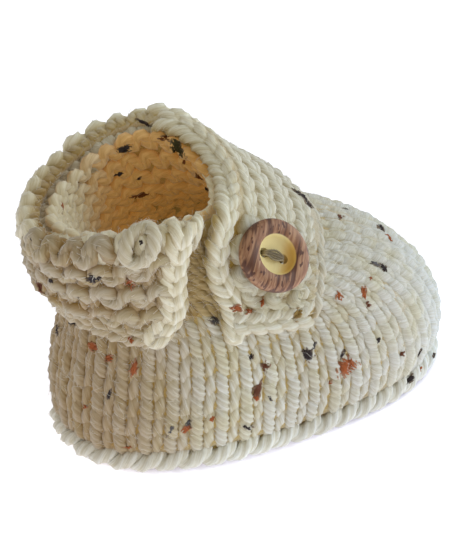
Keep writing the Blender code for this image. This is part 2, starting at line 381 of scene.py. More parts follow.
def cloth(column, up, out):
    """Points off the upper at a column, a height along the surface and a distance out."""
    turn = column_turn(column)
    point, outward, _ = wall_frame(turn, row_of(turn, up))
    point = point + np.asarray(out)[..., None] * outward
    point[..., 2] += np.minimum(up, 0.0)
    return point, outward


print("stitch", round(STITCH, 2), "mm wide,", ROW, "mm high")

# %% [markdown]
# ## Yarn
# The yarn is four plies twisted to the right. A strand could be a curve with a round bevel, but the plies
# would then be painted on. Here each strand is a row of four-lobed sections that turn as they go, laid
# as arrays and joined into one mesh. It keeps four values at each point: how far it rises off the cloth, a
# place along its fibres, whether it lies in a groove between plies, and a tone. The rise and the groove
# set painted shade, and the tone is the strand's own or a painted light or shade.

# %% Meshes from arrays
PLIES, DEEP = 4, 0.2            # a groove of this share of the radius counts as deep
PLY_GROOVE = 0.79               # radius in a groove, as a share of the radius on a ply
FIBRE_STRETCH = 0.12            # the streaks of the fibres are drawn out along the strand


def keep_values(mesh, name, kind, values):
    """Store a value for each point of a mesh, where a material can read it."""
    field = "vector" if kind == "FLOAT_VECTOR" else "value"
    mesh.attributes.new(name, kind, "POINT").data.foreach_set(field, np.asarray(values, np.float32).ravel())


def add_mesh(name, points, faces, material):
    """A smooth mesh object from points in millimetres."""
    mesh = bpy.data.meshes.new(name)
    mesh.from_pydata((points * MM).tolist(), [], faces, shade_flat=False)
    mesh.materials.append(material)
    made = bpy.data.objects.new(name, mesh)
    bpy.context.scene.collection.objects.link(made)
    return made


print("yarn of", PLIES, "plies")

# %% [markdown]
# A skein gathers strands. Laying one turns its line of points into rings, and the rings are joined into
# faces only once, when the whole skein becomes a mesh.

# %% Strands as arrays
class Skein:
    """Gathers strands as arrays and turns them into one mesh."""

    def __init__(self):
        self.points, self.faces, self.caps, self.course = [], [], [], []
        self.rise, self.fibre, self.tone, self.groove = [], [], [], []
        self.count = 0

    def lay(self, line, outward, out, radius, lead, sides=8, groove=PLY_GROOVE, tone=None):
        """Lay strands along lines of points, with the outward direction, rise and radius at each point."""
        strands, steps = line.shape[:2]
        along = unit(np.gradient(line, axis=1))
        side = unit(np.cross(along, outward))
        face = np.cross(side, along)
        gone = run_length(line)
        angle = 2 * math.pi * np.arange(sides) / sides
        valley = 0.5 - 0.5 * np.cos(PLIES * angle)
        depth = np.broadcast_to(1 - np.asarray(groove, float), strands)[:, None, None]
        phase = chance.uniform(0, 2 * math.pi, (strands, 1, 1))
        turn = angle - 2 * math.pi * gone[..., None] / lead + phase
        reach = radius[..., None] * (1 - depth * valley)
        ring = face[:, :, None] * np.cos(turn)[..., None] + side[:, :, None] * np.sin(turn)[..., None]
        self.points.append((line[:, :, None] + reach[..., None] * ring).reshape(-1, 3))
        self.rise.append((out[..., None] + reach * np.cos(turn)).ravel())
        offset = chance.uniform(0, 100, (strands, 1, 1))
        spread = np.broadcast_to(reach, turn.shape)
        drawn_out = gone[..., None] * FIBRE_STRETCH + offset + 0 * turn
        fibre = np.stack([drawn_out, spread * np.cos(angle), spread * np.sin(angle)], -1)
        self.fibre.append(fibre.reshape(-1, 3))
        own = np.asarray(chance.uniform(0, 1, strands) if tone is None else tone, float)
        own = own[:, None] if own.ndim == 1 else own
        self.tone.append(np.repeat(np.broadcast_to(own, (strands, steps)), sides))
        self.groove.append((valley * np.minimum(depth / DEEP, 1.0) * np.ones((1, steps, 1))).ravel())
        swirl = face[:, :, None] * np.sin(turn)[..., None] - side[:, :, None] * np.cos(turn)[..., None]
        course = along[:, :, None] + (2 * math.pi / lead * reach)[..., None] * swirl
        self.course.append(course.reshape(-1, 3))
        self.join(strands, steps, sides)

    def join(self, strands, steps, sides):
        index = self.count + np.arange(strands * steps * sides).reshape(strands, steps, sides)
        after = np.roll(index, -1, axis=2)
        quads = np.stack([index[:, :-1], after[:, :-1], after[:, 1:], index[:, 1:]], -1)
        self.faces += quads.reshape(-1, 4).tolist()
        self.caps += index[:, 0, ::-1].tolist() + index[:, -1].tolist()
        self.count += index.size

    def piece(self, name, material):
        """One mesh object from everything laid so far."""
        made = add_mesh(name, np.concatenate(self.points), self.faces + self.caps, material)
        for key, kind, values in (("rise", "FLOAT", self.rise), ("tone", "FLOAT", self.tone),
                                  ("groove", "FLOAT", self.groove), ("fibre", "FLOAT_VECTOR", self.fibre)):
            keep_values(made.data, key, kind, np.concatenate(values))
        triangles = 2 * len(self.faces) + sum(len(cap) - 2 for cap in self.caps)
        print(name, triangles, "triangles")
        return made


print("strands of", PLIES, "plies ready")

# %% [markdown]
# ## Wool
# Cream wool is bright where strands stand out. The hollows between them are painted ochre, a painted shade
# for light that has passed through other strands. The strand's own rise drives that change, and a faint
# painted glow in the hollows stands for the light that comes through. Painted shade also darkens the
# grooves between plies. Fine streaks along the fibres and broad patches keep the cream from looking flat.
# A strand's tone makes it paler below 0 and darker above 1, and that darker tone is painted shade. Along
# the shoe a painted tint goes from warm shade at the heel to a cool, hazy white painted light at the toe,
# with painted shade over the front half.

# %% The wool's material
CREAM, WHITE = (0.825, 0.835, 0.785, 1.0), (0.98, 0.98, 0.92, 1.0)
# painted ochre shade for the hollows, and a tint for broad patches of the wool's own tone
OCHRE_HOLLOW_SHADE, PATCH = (0.56, 0.43, 0.18, 1.0), (0.92, 0.87, 0.68, 1.0)
STREAK = (0.74, 0.69, 0.55, 1.0)
# painted shade for the grooves between plies and for tones above 1
GROOVE_SHADE, SHADE = (0.63, 0.55, 0.38, 1.0), (0.81, 0.67, 0.45, 1.0)
# a faint painted glow in the hollows, and black for none
HOLLOW_GLOW, BLACK = (0.040, 0.028, 0.007, 1.0), (0.0, 0.0, 0.0, 1.0)
# Painted light and shade along the shoe: warm shade at the heel, shade over the front half, cool light at
# the toe
HEEL_SHADE_TINT, HEEL_SHADE_REACH = (0.63, 0.48, 0.33, 1.0), (-0.018, -0.044)
FRONT_SHADE_TINT, FRONT_SHADE_REACH = (0.87, 0.86, 0.87, 1.0), (-0.018, 0.004)
TOE_LIGHT_TINT, TOE_LIGHT_REACH = (1.08, 1.17, 1.31, 1.0), (0.022, 0.050)
HAZE_REACH = (0.0, 0.045)       # towards the toe the hollows take less painted shade, as the light there fills them
FIBRE_SCALE, PATCH_SCALE, FIBRE_BUMP = 3.0, 130.0, 0.55
WOOL_FINISH = {"Roughness": 0.95, "Sheen_Weight": 0.5, "Sheen_Roughness": 0.5, "Specular_IOR_Level": 0.1,
               "Emission_Strength": 1.0}


def wool(name, light=CREAM, dark=OCHRE_HOLLOW_SHADE, pale=WHITE, spots=PATCH, low=-1.4, high=0.0, lit=0.0,
         glow=HOLLOW_GLOW, pale_glow=BLACK):
    """Wool whose hollows take the dark colour as painted shade, and a painted glow for light let through."""
    paint = Paint(name)
    rise, tone, groove = (paint.attribute(key, ATTRIBUTE_VALUE) for key in ("rise", "tone", "groove"))
    height, crown = paint.ramp(rise, low, high), paint.ramp(rise, 0.0, 1.2)
    streak = paint.noise(paint.attribute("fibre", ATTRIBUTE_VECTOR), FIBRE_SCALE, 3.0, 0.65)
    place = paint.place()
    lengthwise = paint.part(place, 0)
    white = paint.ramp(tone, 0.0, -1.0)
    haze = paint.ramp(lengthwise, *HAZE_REACH)
    colour = paint.mix(height + haze * 0.2, dark, paint.mix(white, light, pale))
    tints = [
        (paint.ramp(paint.noise(place, PATCH_SCALE) + tone * 0.25, 0.5, 0.85) * 0.8, spots),
        (paint.ramp(streak, 0.40, 0.64) * 0.58, STREAK),
        (groove * 0.52, GROOVE_SHADE),
        (paint.ramp(tone, 1.0, 2.0), SHADE),
        # the heel's painted shade is weaker on pale strands and on the crowns of strands
        (paint.ramp(lengthwise, *HEEL_SHADE_REACH) * (1.0 - white * 0.6) * (1.0 - crown * 0.35), HEEL_SHADE_TINT),
        (paint.ramp(lengthwise, *FRONT_SHADE_REACH), FRONT_SHADE_TINT),
        (paint.ramp(lengthwise, *TOE_LIGHT_REACH), TOE_LIGHT_TINT),
    ]
    for amount, tint in tints:
        colour = paint.mix(amount, colour, tint, "MULTIPLY")
    # painted glow in the hollows, all over as lit rises, and on pale strands
    painted_glow = paint.mix(white, paint.mix(height * (1.0 - lit), glow, BLACK), pale_glow)
    bump = paint.node("ShaderNodeBump", {}, {"Strength": FIBRE_BUMP, "Distance": 0.0003,
                                             "Height": 1.0 - streak})
    paint.material.cycles.emission_sampling = "NONE"
    return paint.finish(Base_Color=colour, Emission_Color=painted_glow, Normal=bump, **WOOL_FINISH)


print("wool recipe ready")

# %% [markdown]
# The upper, the cuff, the sole and the inside of the collar are of one yarn, but each has its own painted
# light and shade: the cuff's hollows are painted deeper, the sole's edge is pale, and the lining is painted
# as lit through the wall.

# %% Four shades of wool
upper_wool = wool("upper wool")
# Deeper painted shade and a warmer painted glow in the cuff's hollows; its pale strands get a faint painted
# glow.
cuff_wool = wool("cuff wool", light=(0.75, 0.745, 0.655, 1.0), dark=(0.48, 0.34, 0.11, 1.0),
                 pale=(0.97, 0.97, 0.87, 1.0), low=-1.7, high=0.8, glow=(0.05, 0.032, 0.004, 1.0),
                 pale_glow=(0.055, 0.050, 0.022, 1.0))
# A very faint painted glow on the sole's pale strands.
sole_wool = wool("sole wool", pale=(0.97, 0.99, 0.95, 1.0), pale_glow=(0.004, 0.008, 0.008, 1.0))
# Painted orange and a painted glow all over the lining, for light through the wall; its pale parts glow too.
lining_wool = wool("collar lining wool", light=(0.80, 0.55, 0.26, 1.0), dark=(0.72, 0.42, 0.12, 1.0),
                   pale=(0.93, 0.90, 0.76, 1.0), spots=(0.72, 0.60, 0.42, 1.0), lit=0.9,
                   glow=(0.130, 0.065, 0.014, 1.0), pale_glow=(0.075, 0.070, 0.042, 1.0))
print("wool in four shades")

# %% [markdown]
# ## Stitches of the upper
# The upper is stocking stitch: each stitch shows as two legs of a V, and the Vs stack into columns. The left
# leg stands fuller and straighter than the right, and its plies slant across it as in a short rope. Each leg
# comes up out of the cloth at its foot, lies on it, and dives under the next stitch. A short table holds
# that path once, and it is repeated over every column and row that shows.

# %% The legs of a stitch
YARN = 1.6                      # radius of the yarn
LEG_STEPS = 12
LEFT_LEG = [                    # across in stitches, up in rows, out, share of the yarn's radius
    (-0.12, -0.45, -2.5, 0.75),
    (-0.18, -0.20, -1.45, 0.95),
    (-0.23, 0.12, -1.05, 1.02),
    (-0.26, 0.50, -1.00, 1.02),
    (-0.29, 0.85, -1.40, 0.98),
    (-0.31, 1.15, -2.6, 0.75),
]
RIGHT_LEG = [
    (0.12, -0.45, -2.7, 0.66),
    (0.18, -0.20, -1.7, 0.84),
    (0.22, 0.12, -1.35, 0.90),
    (0.26, 0.50, -1.3, 0.90),
    (0.30, 0.85, -1.6, 0.86),
    (0.34, 1.15, -2.6, 0.66),
]
LEFT_LEAD, RIGHT_LEAD = 6.0, 12.0   # length of one full turn of the plies
VISIBLE_TO = [                  # turn, the loft's row up to which the upper shows
    (0.00, 6.5), (0.10, 6.0), (0.19, 5.0), (0.28, 4.6), (0.61, 4.6), (0.64, 9.0), (0.79, 9.0), (0.82, 6.0),
    (0.90, 6.2), (1.00, 6.5),
]
WEDGE_TURNS, WEDGE_FROM = (0.63, 0.80), 4.3   # between cuff and flap, and the row above which it is shaded
# a tone above 1: painted shade where the cuff's end and the flap shade the upper
WEDGE_SHADE_TONE = 2.0


def arch(half):
    """A path's table from its first half, which the second half mirrors."""
    return half + [(-along, *rest) for along, *rest in reversed(half)]


def strand_path(table, steps):
    return between(table, np.linspace(0, len(table) - 1, steps)).T[:, None, :]


def width_share(column, up):
    """How wide a stitch is there, against a stitch at the sole."""
    left, _ = cloth(column - 0.5, up, np.zeros(np.shape(up)))
    right, _ = cloth(column + 0.5, up, np.zeros(np.shape(up)))
    return np.linalg.norm(right - left, axis=-1) / STITCH


def shown_stitches():
    columns, ups = np.meshgrid(np.arange(COLUMNS), np.arange(0.3, heights[-1] / ROW), indexing="ij")
    columns, ups = columns.ravel().astype(float), ups.ravel() * ROW
    turn = column_turn(columns)
    top = np.interp(np.mod(turn, 1.0), *np.array(VISIBLE_TO).T)
    lengths = np.array([climbed[int(round(t * FINE_TURNS))][-1] for t in np.mod(turn, 1.0)])
    keep = (row_of(turn, ups) < top) & (ups < lengths - ROW)
    return columns[keep], ups[keep]


print("legs of", LEG_STEPS, "steps")

# %% [markdown]
# Now the legs are laid, each with a small wobble, because no hand knits evenly. Stitches are narrower where
# the columns draw together towards the collar, and the toe is rubbed smooth, so its plies are shallower.

# %% Knit the upper
WOBBLE, OUT_WOBBLE = 0.025, 0.08    # in stitches and rows, and outward in millimetres
SHARES, NARROWING = (0.55, 1.03), 1.15   # how far the yarn follows the width of the stitch
WORN_FROM, WORN_TO, WORN_GROOVE = -12.0, 30.0, 0.14   # along the shoe, and how much shallower

upper_skein = Skein()
columns, ups = shown_stitches()
share = width_share(columns, ups)
wobble_across, wobble_up = chance.normal(0, WOBBLE, (2, len(columns), 1))
turns = np.mod(column_turn(columns), 1.0)
in_wedge = (row_of(turns, ups) > WEDGE_FROM) & (turns > WEDGE_TURNS[0]) & (turns < WEDGE_TURNS[1])
tone = np.where(in_wedge, WEDGE_SHADE_TONE, chance.uniform(0, 1, len(columns)))
for table, lead in ((LEFT_LEG, LEFT_LEAD), (RIGHT_LEG, RIGHT_LEAD)):
    across, up, out, thick = strand_path(table, LEG_STEPS)
    line_up = ups[:, None] + (up + wobble_up) * ROW
    out = out + chance.normal(0, OUT_WOBBLE, (len(columns), 1))
    line, outward = cloth(columns[:, None] + across + wobble_across, line_up, out)
    radius = YARN * thick * (np.clip(share, *SHARES) ** NARROWING)[:, None]
    worn = fade(line[:, LEG_STEPS // 2, 0], WORN_FROM, WORN_TO)
    upper_skein.lay(line, outward, out, radius, lead, groove=PLY_GROOVE + WORN_GROOVE * worn, tone=tone)
upper_stitches = upper_skein.piece("upper_stitches", upper_wool)
print(len(columns), "stitches on the upper")

# %% [markdown]
# ## Cloth under the stitches
# Between the legs one looks into the cloth, at the backs of the loops. A closed shell, a little inside the
# stitches, stands for them and closes the shoe. It is the loft's own grid with a Solidify modifier, because
# that gives an even wall with a rim. At the toe it lies a little higher, where wear has felted the hollows.

# %% The upper's core
def grid_faces(rows, around, closed=True):
    index = np.arange(rows * around).reshape(rows, around)
    after = np.roll(index, -1, axis=1) if closed else index[:, 1:]
    before = index if closed else index[:, :-1]
    return np.stack([before[:-1], after[:-1], after[1:], before[1:]], -1).reshape(-1, 4).tolist()


def shell(name, points, thickness, material, rise, closed=True):
    """A wall of one thickness from a grid of points."""
    rows, around = points.shape[:2]
    made = add_mesh(name, points.reshape(-1, 3), grid_faces(rows, around, closed), material)
    keep_values(made.data, "rise", "FLOAT", np.broadcast_to(rise, (rows, around)))
    keep_values(made.data, "fibre", "FLOAT_VECTOR", points)
    bpy.ops.object.select_all(action="DESELECT")
    made.select_set(True)
    bpy.context.view_layer.objects.active = made
    wall_modifier = made.modifiers.new("wall", "SOLIDIFY")
    wall_modifier.thickness = thickness * MM
    wall_modifier.offset = -1.0
    bpy.ops.object.modifier_apply(modifier="wall")
    print(name, len(made.data.polygons), "faces")
    return made


CORE_DEPTH, CORE_WALL = -0.8, 1.0
CORE_AROUND, CORE_UP = 128, 40
CORE_RISE = -2.0                # deep below the strands, so it takes the hollows' painted shade
FELTED_FROM, FELTED_TO = 2.0, 36.0   # along the shoe
# how much higher the felted core lies, and how much less painted shade it takes
FELT_LIFT, FELT_RISE = 0.5, 1.7
core_turn = np.arange(CORE_AROUND) / CORE_AROUND
core_row = np.linspace(0.0, RIM, CORE_UP)[:, None]
core_point, core_out, _ = wall_frame(core_turn[None, :] + 0 * core_row, core_row + 0 * core_turn[None, :])
felted = fade(core_point[..., 0], FELTED_FROM, FELTED_TO)
core_point = core_point + (CORE_DEPTH + FELT_LIFT * felted)[..., None] * core_out
upper_core = shell("upper_core", core_point, CORE_WALL, upper_wool, CORE_RISE + FELT_RISE * felted)

# %% [markdown]
# ## Inside the collar
# The inside of stocking stitch is its purl side: short arcs that lie across the columns, each row hooked
# into the next. They are laid as arcs on the inner face, two to a stitch, from the collar down. The lining
# is painted orange with a painted glow, for the light that comes through the wall, and it is pale near the
# heel and below the near rim.

# %% Purl side of the collar
LINING_COLUMNS = 26
LINING_ROWS = np.arange(1.75, 9.0, 0.72)
ARC_STEPS = 8
PURL_YARN, PURL_LEAD, PURL_WOBBLE = 1.1, 9.0, 0.05
PALE_FROM, PALE_TO = -20.0, -40.0   # towards the heel the lining is as pale as the cuff
NEAR_SIDE, NEAR_PALE = -2.0, 0.9    # y below which the top rows are pale too, and how pale
PURL_ARC = arch([               # across in stitches, up in the loft's rows, inward, thickness
    (-0.62, -0.20, -0.5, 0.9), (-0.36, -0.04, 0.1, 1.1), (-0.14, 0.20, 0.35, 1.2),
])
lining_skein = Skein()
rows, columns = np.meshgrid(LINING_ROWS, np.arange(LINING_COLUMNS), indexing="ij")
rows, columns = rows.ravel()[:, None], columns.ravel()[:, None].astype(float)
for flip, shift in ((1.0, 0.0), (-1.0, 0.5)):
    across, up, inward, thick = strand_path(PURL_ARC, ARC_STEPS)
    turn = (columns + across + shift + chance.normal(0, PURL_WOBBLE, columns.shape)) / LINING_COLUMNS
    row = rows + flip * up + chance.normal(0, PURL_WOBBLE, rows.shape)
    point, outward, upward = wall_frame(turn, np.clip(row, 0.0, RIM))
    point = point + (np.maximum(row - RIM, 0.0) * ROW)[..., None] * upward
    depth = WALL - 0.3 + inward * 0.9
    line, radius = point - depth[..., None] * outward, PURL_YARN * thick + 0 * turn
    pale = fade(line[:, ARC_STEPS // 2, 0], PALE_FROM, PALE_TO)
    near_rim = (rows[:, 0] > LINING_ROWS[-4]) & (line[:, ARC_STEPS // 2, 1] < NEAR_SIDE)
    pale = np.maximum(pale, NEAR_PALE * near_rim)
    lining_skein.lay(line, -outward, inward - 0.6 + 0 * turn, radius, PURL_LEAD, tone=-pale)
collar_lining = lining_skein.piece("collar_lining", lining_wool)

# %% [markdown]
# ## The cuff's own surface
# The cuff is the collar turned down and outward, and its front runs on as the flap. Its solid is a strip cut
# from the upper's own function, with stations from the near end round the heel to the flap's end. The
# same stations give a middle surface here, measured in stitches along the strip and in shares of its width.

# %% The cuff as a strip
CUFF_THICK, CUFF_GAP = 3.2, 0.5
SAG_START, SAG_LOW = 0.1, 1.4
FOLD_IN = RIM + 1.43
CUFF_HIP = 0.17
CUFF_STATIONS = [               # turn_fold, row_fold, turn_edge, row_edge, hang
    (0.785, FOLD_IN, 0.630, 3.75, 1.0),
    (0.710, FOLD_IN, 0.590, 3.80, 1.8),
    (0.610, FOLD_IN, 0.545, 3.95, 3.6),
    (0.500, FOLD_IN, 0.480, 3.95, 5.0),
    (0.380, FOLD_IN, 0.375, 3.90, 4.8),
    (0.270, FOLD_IN, 0.280, 3.90, 2.8),
    (0.170, FOLD_IN, 0.190, 4.40, 2.6),
    (0.085, FOLD_IN, 0.100, 5.35, 2.8),
    (0.010, FOLD_IN, 0.010, 5.90, 2.8),
    (-0.060, FOLD_IN, -0.070, 5.90, 2.2),
    (-0.120, FOLD_IN, -0.133, 5.65, 1.8),
    (-0.165, 10.20, -0.170, 5.35, 1.4),
    (-0.198, 9.50, -0.195, 5.02, 1.2),
    (-0.226, 8.50, -0.214, 4.74, 1.0),
    (-0.255, 7.40, -0.231, 4.46, 0.8),
    (-0.286, 6.10, -0.243, 4.20, 0.6),
    (-0.313, 4.80, -0.250, 3.95, 0.4),
    (-0.328, 3.65, -0.257, 3.72, 0.3),
]


def over(turn, row, lift):
    """Point at a lift off the upper. Past RIM it rounds the rim's edge and runs in over its top."""
    turn, row, lift = np.broadcast_arrays(turn, row, lift)
    point, outward, upward = wall_frame(turn, np.minimum(row, RIM))
    bend = np.clip(row - RIM, 0.0, 1.0)[..., None] * math.pi / 2
    inward = np.clip(row - RIM - 1.0, 0.0, None)[..., None] * WALL
    return point + lift[..., None] * (outward * np.cos(bend) + upward * np.sin(bend)) - outward * inward


def strip(station, share):
    """Middle of the cuff's thickness, at a station and a share of its width from fold to edge."""
    turn_fold, row_fold, turn_edge, row_edge, hang = np.moveaxis(between(CUFF_STATIONS, station), -1, 0)
    row_fold = np.minimum(row_fold, FOLD_IN)
    crown = np.clip(1 - share / CUFF_HIP, 0.0, 1.0)
    down = np.clip((share - CUFF_HIP) / (1 - CUFF_HIP), 0.0, 1.0)
    hooked = RIM + (row_fold - RIM) * crown + (row_edge - RIM) * down
    plain = row_fold + (row_edge - row_fold) * share
    row = plain + (hooked - plain) * smooth(row_fold - RIM)
    sag = np.sin(math.pi * (SAG_START + (1 - SAG_START) * down) ** SAG_LOW)
    sag = np.where(share < CUFF_HIP, math.sin(math.pi * SAG_START ** SAG_LOW) * (1 - crown), sag)
    turn = turn_fold + (turn_edge - turn_fold) * share
    return over(turn, row, CUFF_GAP + hang * sag + CUFF_THICK / 2)


print("cuff strip from", strip(0.0, np.array(0.5)).round(1), "to", strip(17.0, np.array(0.5)).round(1))

# %% [markdown]
# Stitches are spaced evenly along the strip's middle, and rows evenly across it, so both are measured once
# and looked up.

# %% Stitches along the cuff
LAST_STATION = len(CUFF_STATIONS) - 1.0
CUFF_STITCHES = 30
FINE_STATIONS, FINE_SHARES = 341, 121
BAND_STEP = 0.01                # how far aside the surface's directions are measured
PAST_EDGE = 28.0                # a share of the width past the edge, in millimetres

fine_station = np.linspace(0.0, LAST_STATION, FINE_STATIONS)
fine_share = np.linspace(0.0, 1.0, FINE_SHARES)
strip_grid = strip(fine_station[:, None] + 0 * fine_share, fine_share + 0 * fine_station[:, None])
middle_run = strip_grid[:, FINE_SHARES // 2]
middle_length = run_length(middle_run)
width_run = run_length(strip_grid)
even_share = np.array([np.interp(fine_share * run[-1], run, fine_share) for run in width_run])


def station_of(stitch):
    return np.interp(stitch / CUFF_STITCHES * middle_length[-1], middle_length, fine_station)


def band(stitch, down, out):
    """Points off the cuff's middle, at a stitch along it and an even share of its width."""
    stitch, down, out = np.broadcast_arrays(np.asarray(stitch, float), np.asarray(down, float), out)
    inside, depth = np.clip(stitch, 0.0, CUFF_STITCHES), np.clip(down, 0.0, 1.0)
    station = station_of(inside)
    i = np.minimum((station / LAST_STATION * (FINE_STATIONS - 1)).astype(int), FINE_STATIONS - 1)
    j = np.minimum((depth * (FINE_SHARES - 1)).astype(int), FINE_SHARES - 2)
    f = depth * (FINE_SHARES - 1) - j
    share = even_share[i, j] * (1 - f) + even_share[i, j + 1] * f
    before, after = np.maximum(station - BAND_STEP, 0.0), np.minimum(station + BAND_STEP, LAST_STATION)
    above, below = np.maximum(share - BAND_STEP, 0.0), np.minimum(share + BAND_STEP, 1.0)
    point = strip(station, share)
    along = unit(strip(after, share) - strip(before, share))
    across = unit(strip(station, below) - strip(station, above))
    outward = unit(np.cross(along, across))
    point = point + (stitch - inside)[..., None] * along * middle_length[-1] / CUFF_STITCHES
    point = point + ((down - depth) * PAST_EDGE)[..., None] * across
    return point + out[..., None] * outward, outward


_, probe_out = band(np.array([4.0]), np.array([0.6]), np.array([0.0]))
print("cuff", round(middle_length[-1]), "mm long; at the near side it faces", probe_out.round(2)[0])

# %% [markdown]
# ## Garter ridges of the cuff
# Garter stitch shows ridges of purl bumps with hollows between. Each bump is an arc hooked into the arcs of
# the next row. Two arcs to a stitch make a ridge, and low upright legs fill the hollow. The loops that turn
# in over the rim are painted pale, with a faint painted glow, on the far side, where the light falls on
# them, and painted in ochre shade on the near one.

# %% Knit the cuff
RIDGES = [0.13, 0.315, 0.535, 0.755]   # shares of the cuff's width
FOLD_RIDGE = 0.2                # ridges above this share lie in the fold
FLAP_FROM = 19.0                # stitch where the strip leaves the rim and becomes the flap
GARTER_AGAIN = 25.0             # stitch below the button where the flap shows garter ridges again
RIDGE_APART = 0.22
RIDGE_YARN = 1.12 * YARN        # the ridges' loops are slack, so they look thicker
RING_STITCH, RING_SHARE = 2.2, 0.13   # one slack loop near the near end
RING_LONG, RING_WIDE, RING_CLEAR = 0.44, 0.10, 0.8   # its half sizes, and the room left for it
BUMP_ARC = arch([               # along in stitches, down in ridges, out, share of the yarn's radius
    (-0.64, 0.30, -1.1, 0.70), (-0.40, 0.12, 0.35, 0.92), (-0.15, -0.20, 0.85, 1.02),
])
LOW_LEG = [
    (0.20, 0.10, -0.6, 0.75), (0.24, 0.35, 0.0, 0.95), (0.26, 0.65, 0.0, 0.95), (0.22, 0.90, -0.6, 0.75),
]
BUMP_STEPS, BUMP_LEAD = 15, 8.5
BUMP_WOBBLE, BUMP_OUT = (0.07, 0.008, 0.08), 0.14   # along, down and in thickness, and outward
LOW_STEPS = 9
BUMP_SINK, LOW_SINK = 1.4, 1.3  # taken off the rise, which sets the painted hollow shade
FAR_FROM = 2.0                  # y from which the fold counts as the far side
# Painted light and shade in the fold: pale, with a faint painted glow, on the far side; darker on the near
# side.
FLAP_TONE, FAR_FOLD_LIGHT_TONE = 0.5, -0.9
LOW_FAR_LIGHT_TONE, LOW_NEAR_SHADE_TONE = -0.4, 1.2   # of the low legs in the fold

cuff_skein = Skein()
ridges, stitches = np.meshgrid(RIDGES, np.arange(1, CUFF_STITCHES - 1) + 0.5, indexing="ij")
shown = (stitches < FLAP_FROM) | ((stitches > GARTER_AGAIN) & (ridges > FOLD_RIDGE))
shown &= (ridges > FOLD_RIDGE) | (np.abs(stitches - RING_STITCH) > RING_CLEAR)
ridges, stitches = ridges[shown][:, None], stitches[shown][:, None]
for flip, shift, lower in ((1.0, 0.0, 0.0), (-1.0, 0.5, -0.25)):
    along, down, out, thick = strand_path(BUMP_ARC, BUMP_STEPS)
    slip, sag, slack = chance.normal(0, BUMP_WOBBLE, (len(stitches), 3)).T[..., None]
    out = out + lower + chance.normal(0, BUMP_OUT, stitches.shape)
    line, outward = band(stitches + along + shift + slip, ridges + sag + flip * down * RIDGE_APART, out)
    tone = np.where(stitches > GARTER_AGAIN, FLAP_TONE, chance.uniform(0, 1, stitches.shape))
    far_fold = (ridges < FOLD_RIDGE) & (line[:, BUMP_STEPS // 2, 1:2] > FAR_FROM)
    tone = np.where(far_fold, FAR_FOLD_LIGHT_TONE, tone)
    thick = thick * (1 + slack)
    radius = RIDGE_YARN * thick + 0 * stitches
    cuff_skein.lay(line, outward, out - BUMP_SINK, radius, BUMP_LEAD, tone=tone)
in_fold = ridges < FOLD_RIDGE
above = np.concatenate([ridges, 0 * ridges[in_fold][:, None]])
beside = np.concatenate([stitches, stitches[in_fold][:, None]])
for mirror in (-1.0, 1.0):
    along, down, out, thick = strand_path(LOW_LEG, LOW_STEPS)
    line, outward = band(beside + mirror * along, above + down * RIDGE_APART, out + 0 * beside)
    fold_light_and_shade = np.where(line[:, LOW_STEPS // 2, 1:2] > FAR_FROM, LOW_FAR_LIGHT_TONE, LOW_NEAR_SHADE_TONE)
    tone = np.where(above == 0, fold_light_and_shade, chance.uniform(0, 1, above.shape))
    radius = YARN * thick + 0 * beside
    cuff_skein.lay(line, outward, out - LOW_SINK + 0 * beside, radius, BUMP_LEAD, tone=tone)
print(len(stitches), "garter stitches")

# %% [markdown]
# ## Edges of the cuff
# The free edges are chains: the near end, the lower edge, the flap's inner edge and its end. The middle of
# the flap is knitted lengthwise, so its columns are chains too. A chain is a column of Vs with a table of
# its own, laid along a line between two places on the strip.

# %% Chains along the edges and the flap
CHAIN_STITCH = 3.8              # length of one link
CHAIN_WIDE = 5.2                # width that the links' table is scaled to
CHAIN_LEAD = 11.0
CHAIN_LEG = [                   # across, up in links, out, share of the yarn's radius
    (-0.02, -0.55, -2.2, 0.60),
    (-0.07, -0.25, -1.0, 0.86),
    (-0.16, 0.10, -0.7, 0.96),
    (-0.26, 0.45, -0.7, 0.96),
    (-0.35, 0.80, -1.2, 0.86),
    (-0.41, 1.10, -2.2, 0.60),
]


def chain(start, end, lift, thick_share, tone):
    """A column of Vs between two places on the strip, given as stitch and share of the width."""
    def between_ends(share):
        return tuple(a + (b - a) * share for a, b in zip(start, end))

    fine = np.linspace(0, 1, 200)
    route, _ = band(*between_ends(fine), 0 * fine)
    run = run_length(route)
    links = max(2, int(round(run[-1] / CHAIN_STITCH)))
    for mirror in (1.0, -1.0):
        across, up, out, thick = strand_path(CHAIN_LEG, LEG_STEPS)
        place = (np.arange(links)[:, None] + up) / links
        share = np.interp(np.clip(place, 0, 1) * run[-1], run, fine)
        middle, outward = band(*between_ends(share), out + lift)
        heading = unit(np.gradient(middle, axis=1))
        sideways = unit(np.cross(heading, outward))
        line = middle + sideways * (mirror * across * CHAIN_WIDE * thick_share)[..., None]
        radius = YARN * thick_share * thick + 0 * place
        cuff_skein.lay(line, outward, out + 0 * place, radius, CHAIN_LEAD, tone=tone)
    return links


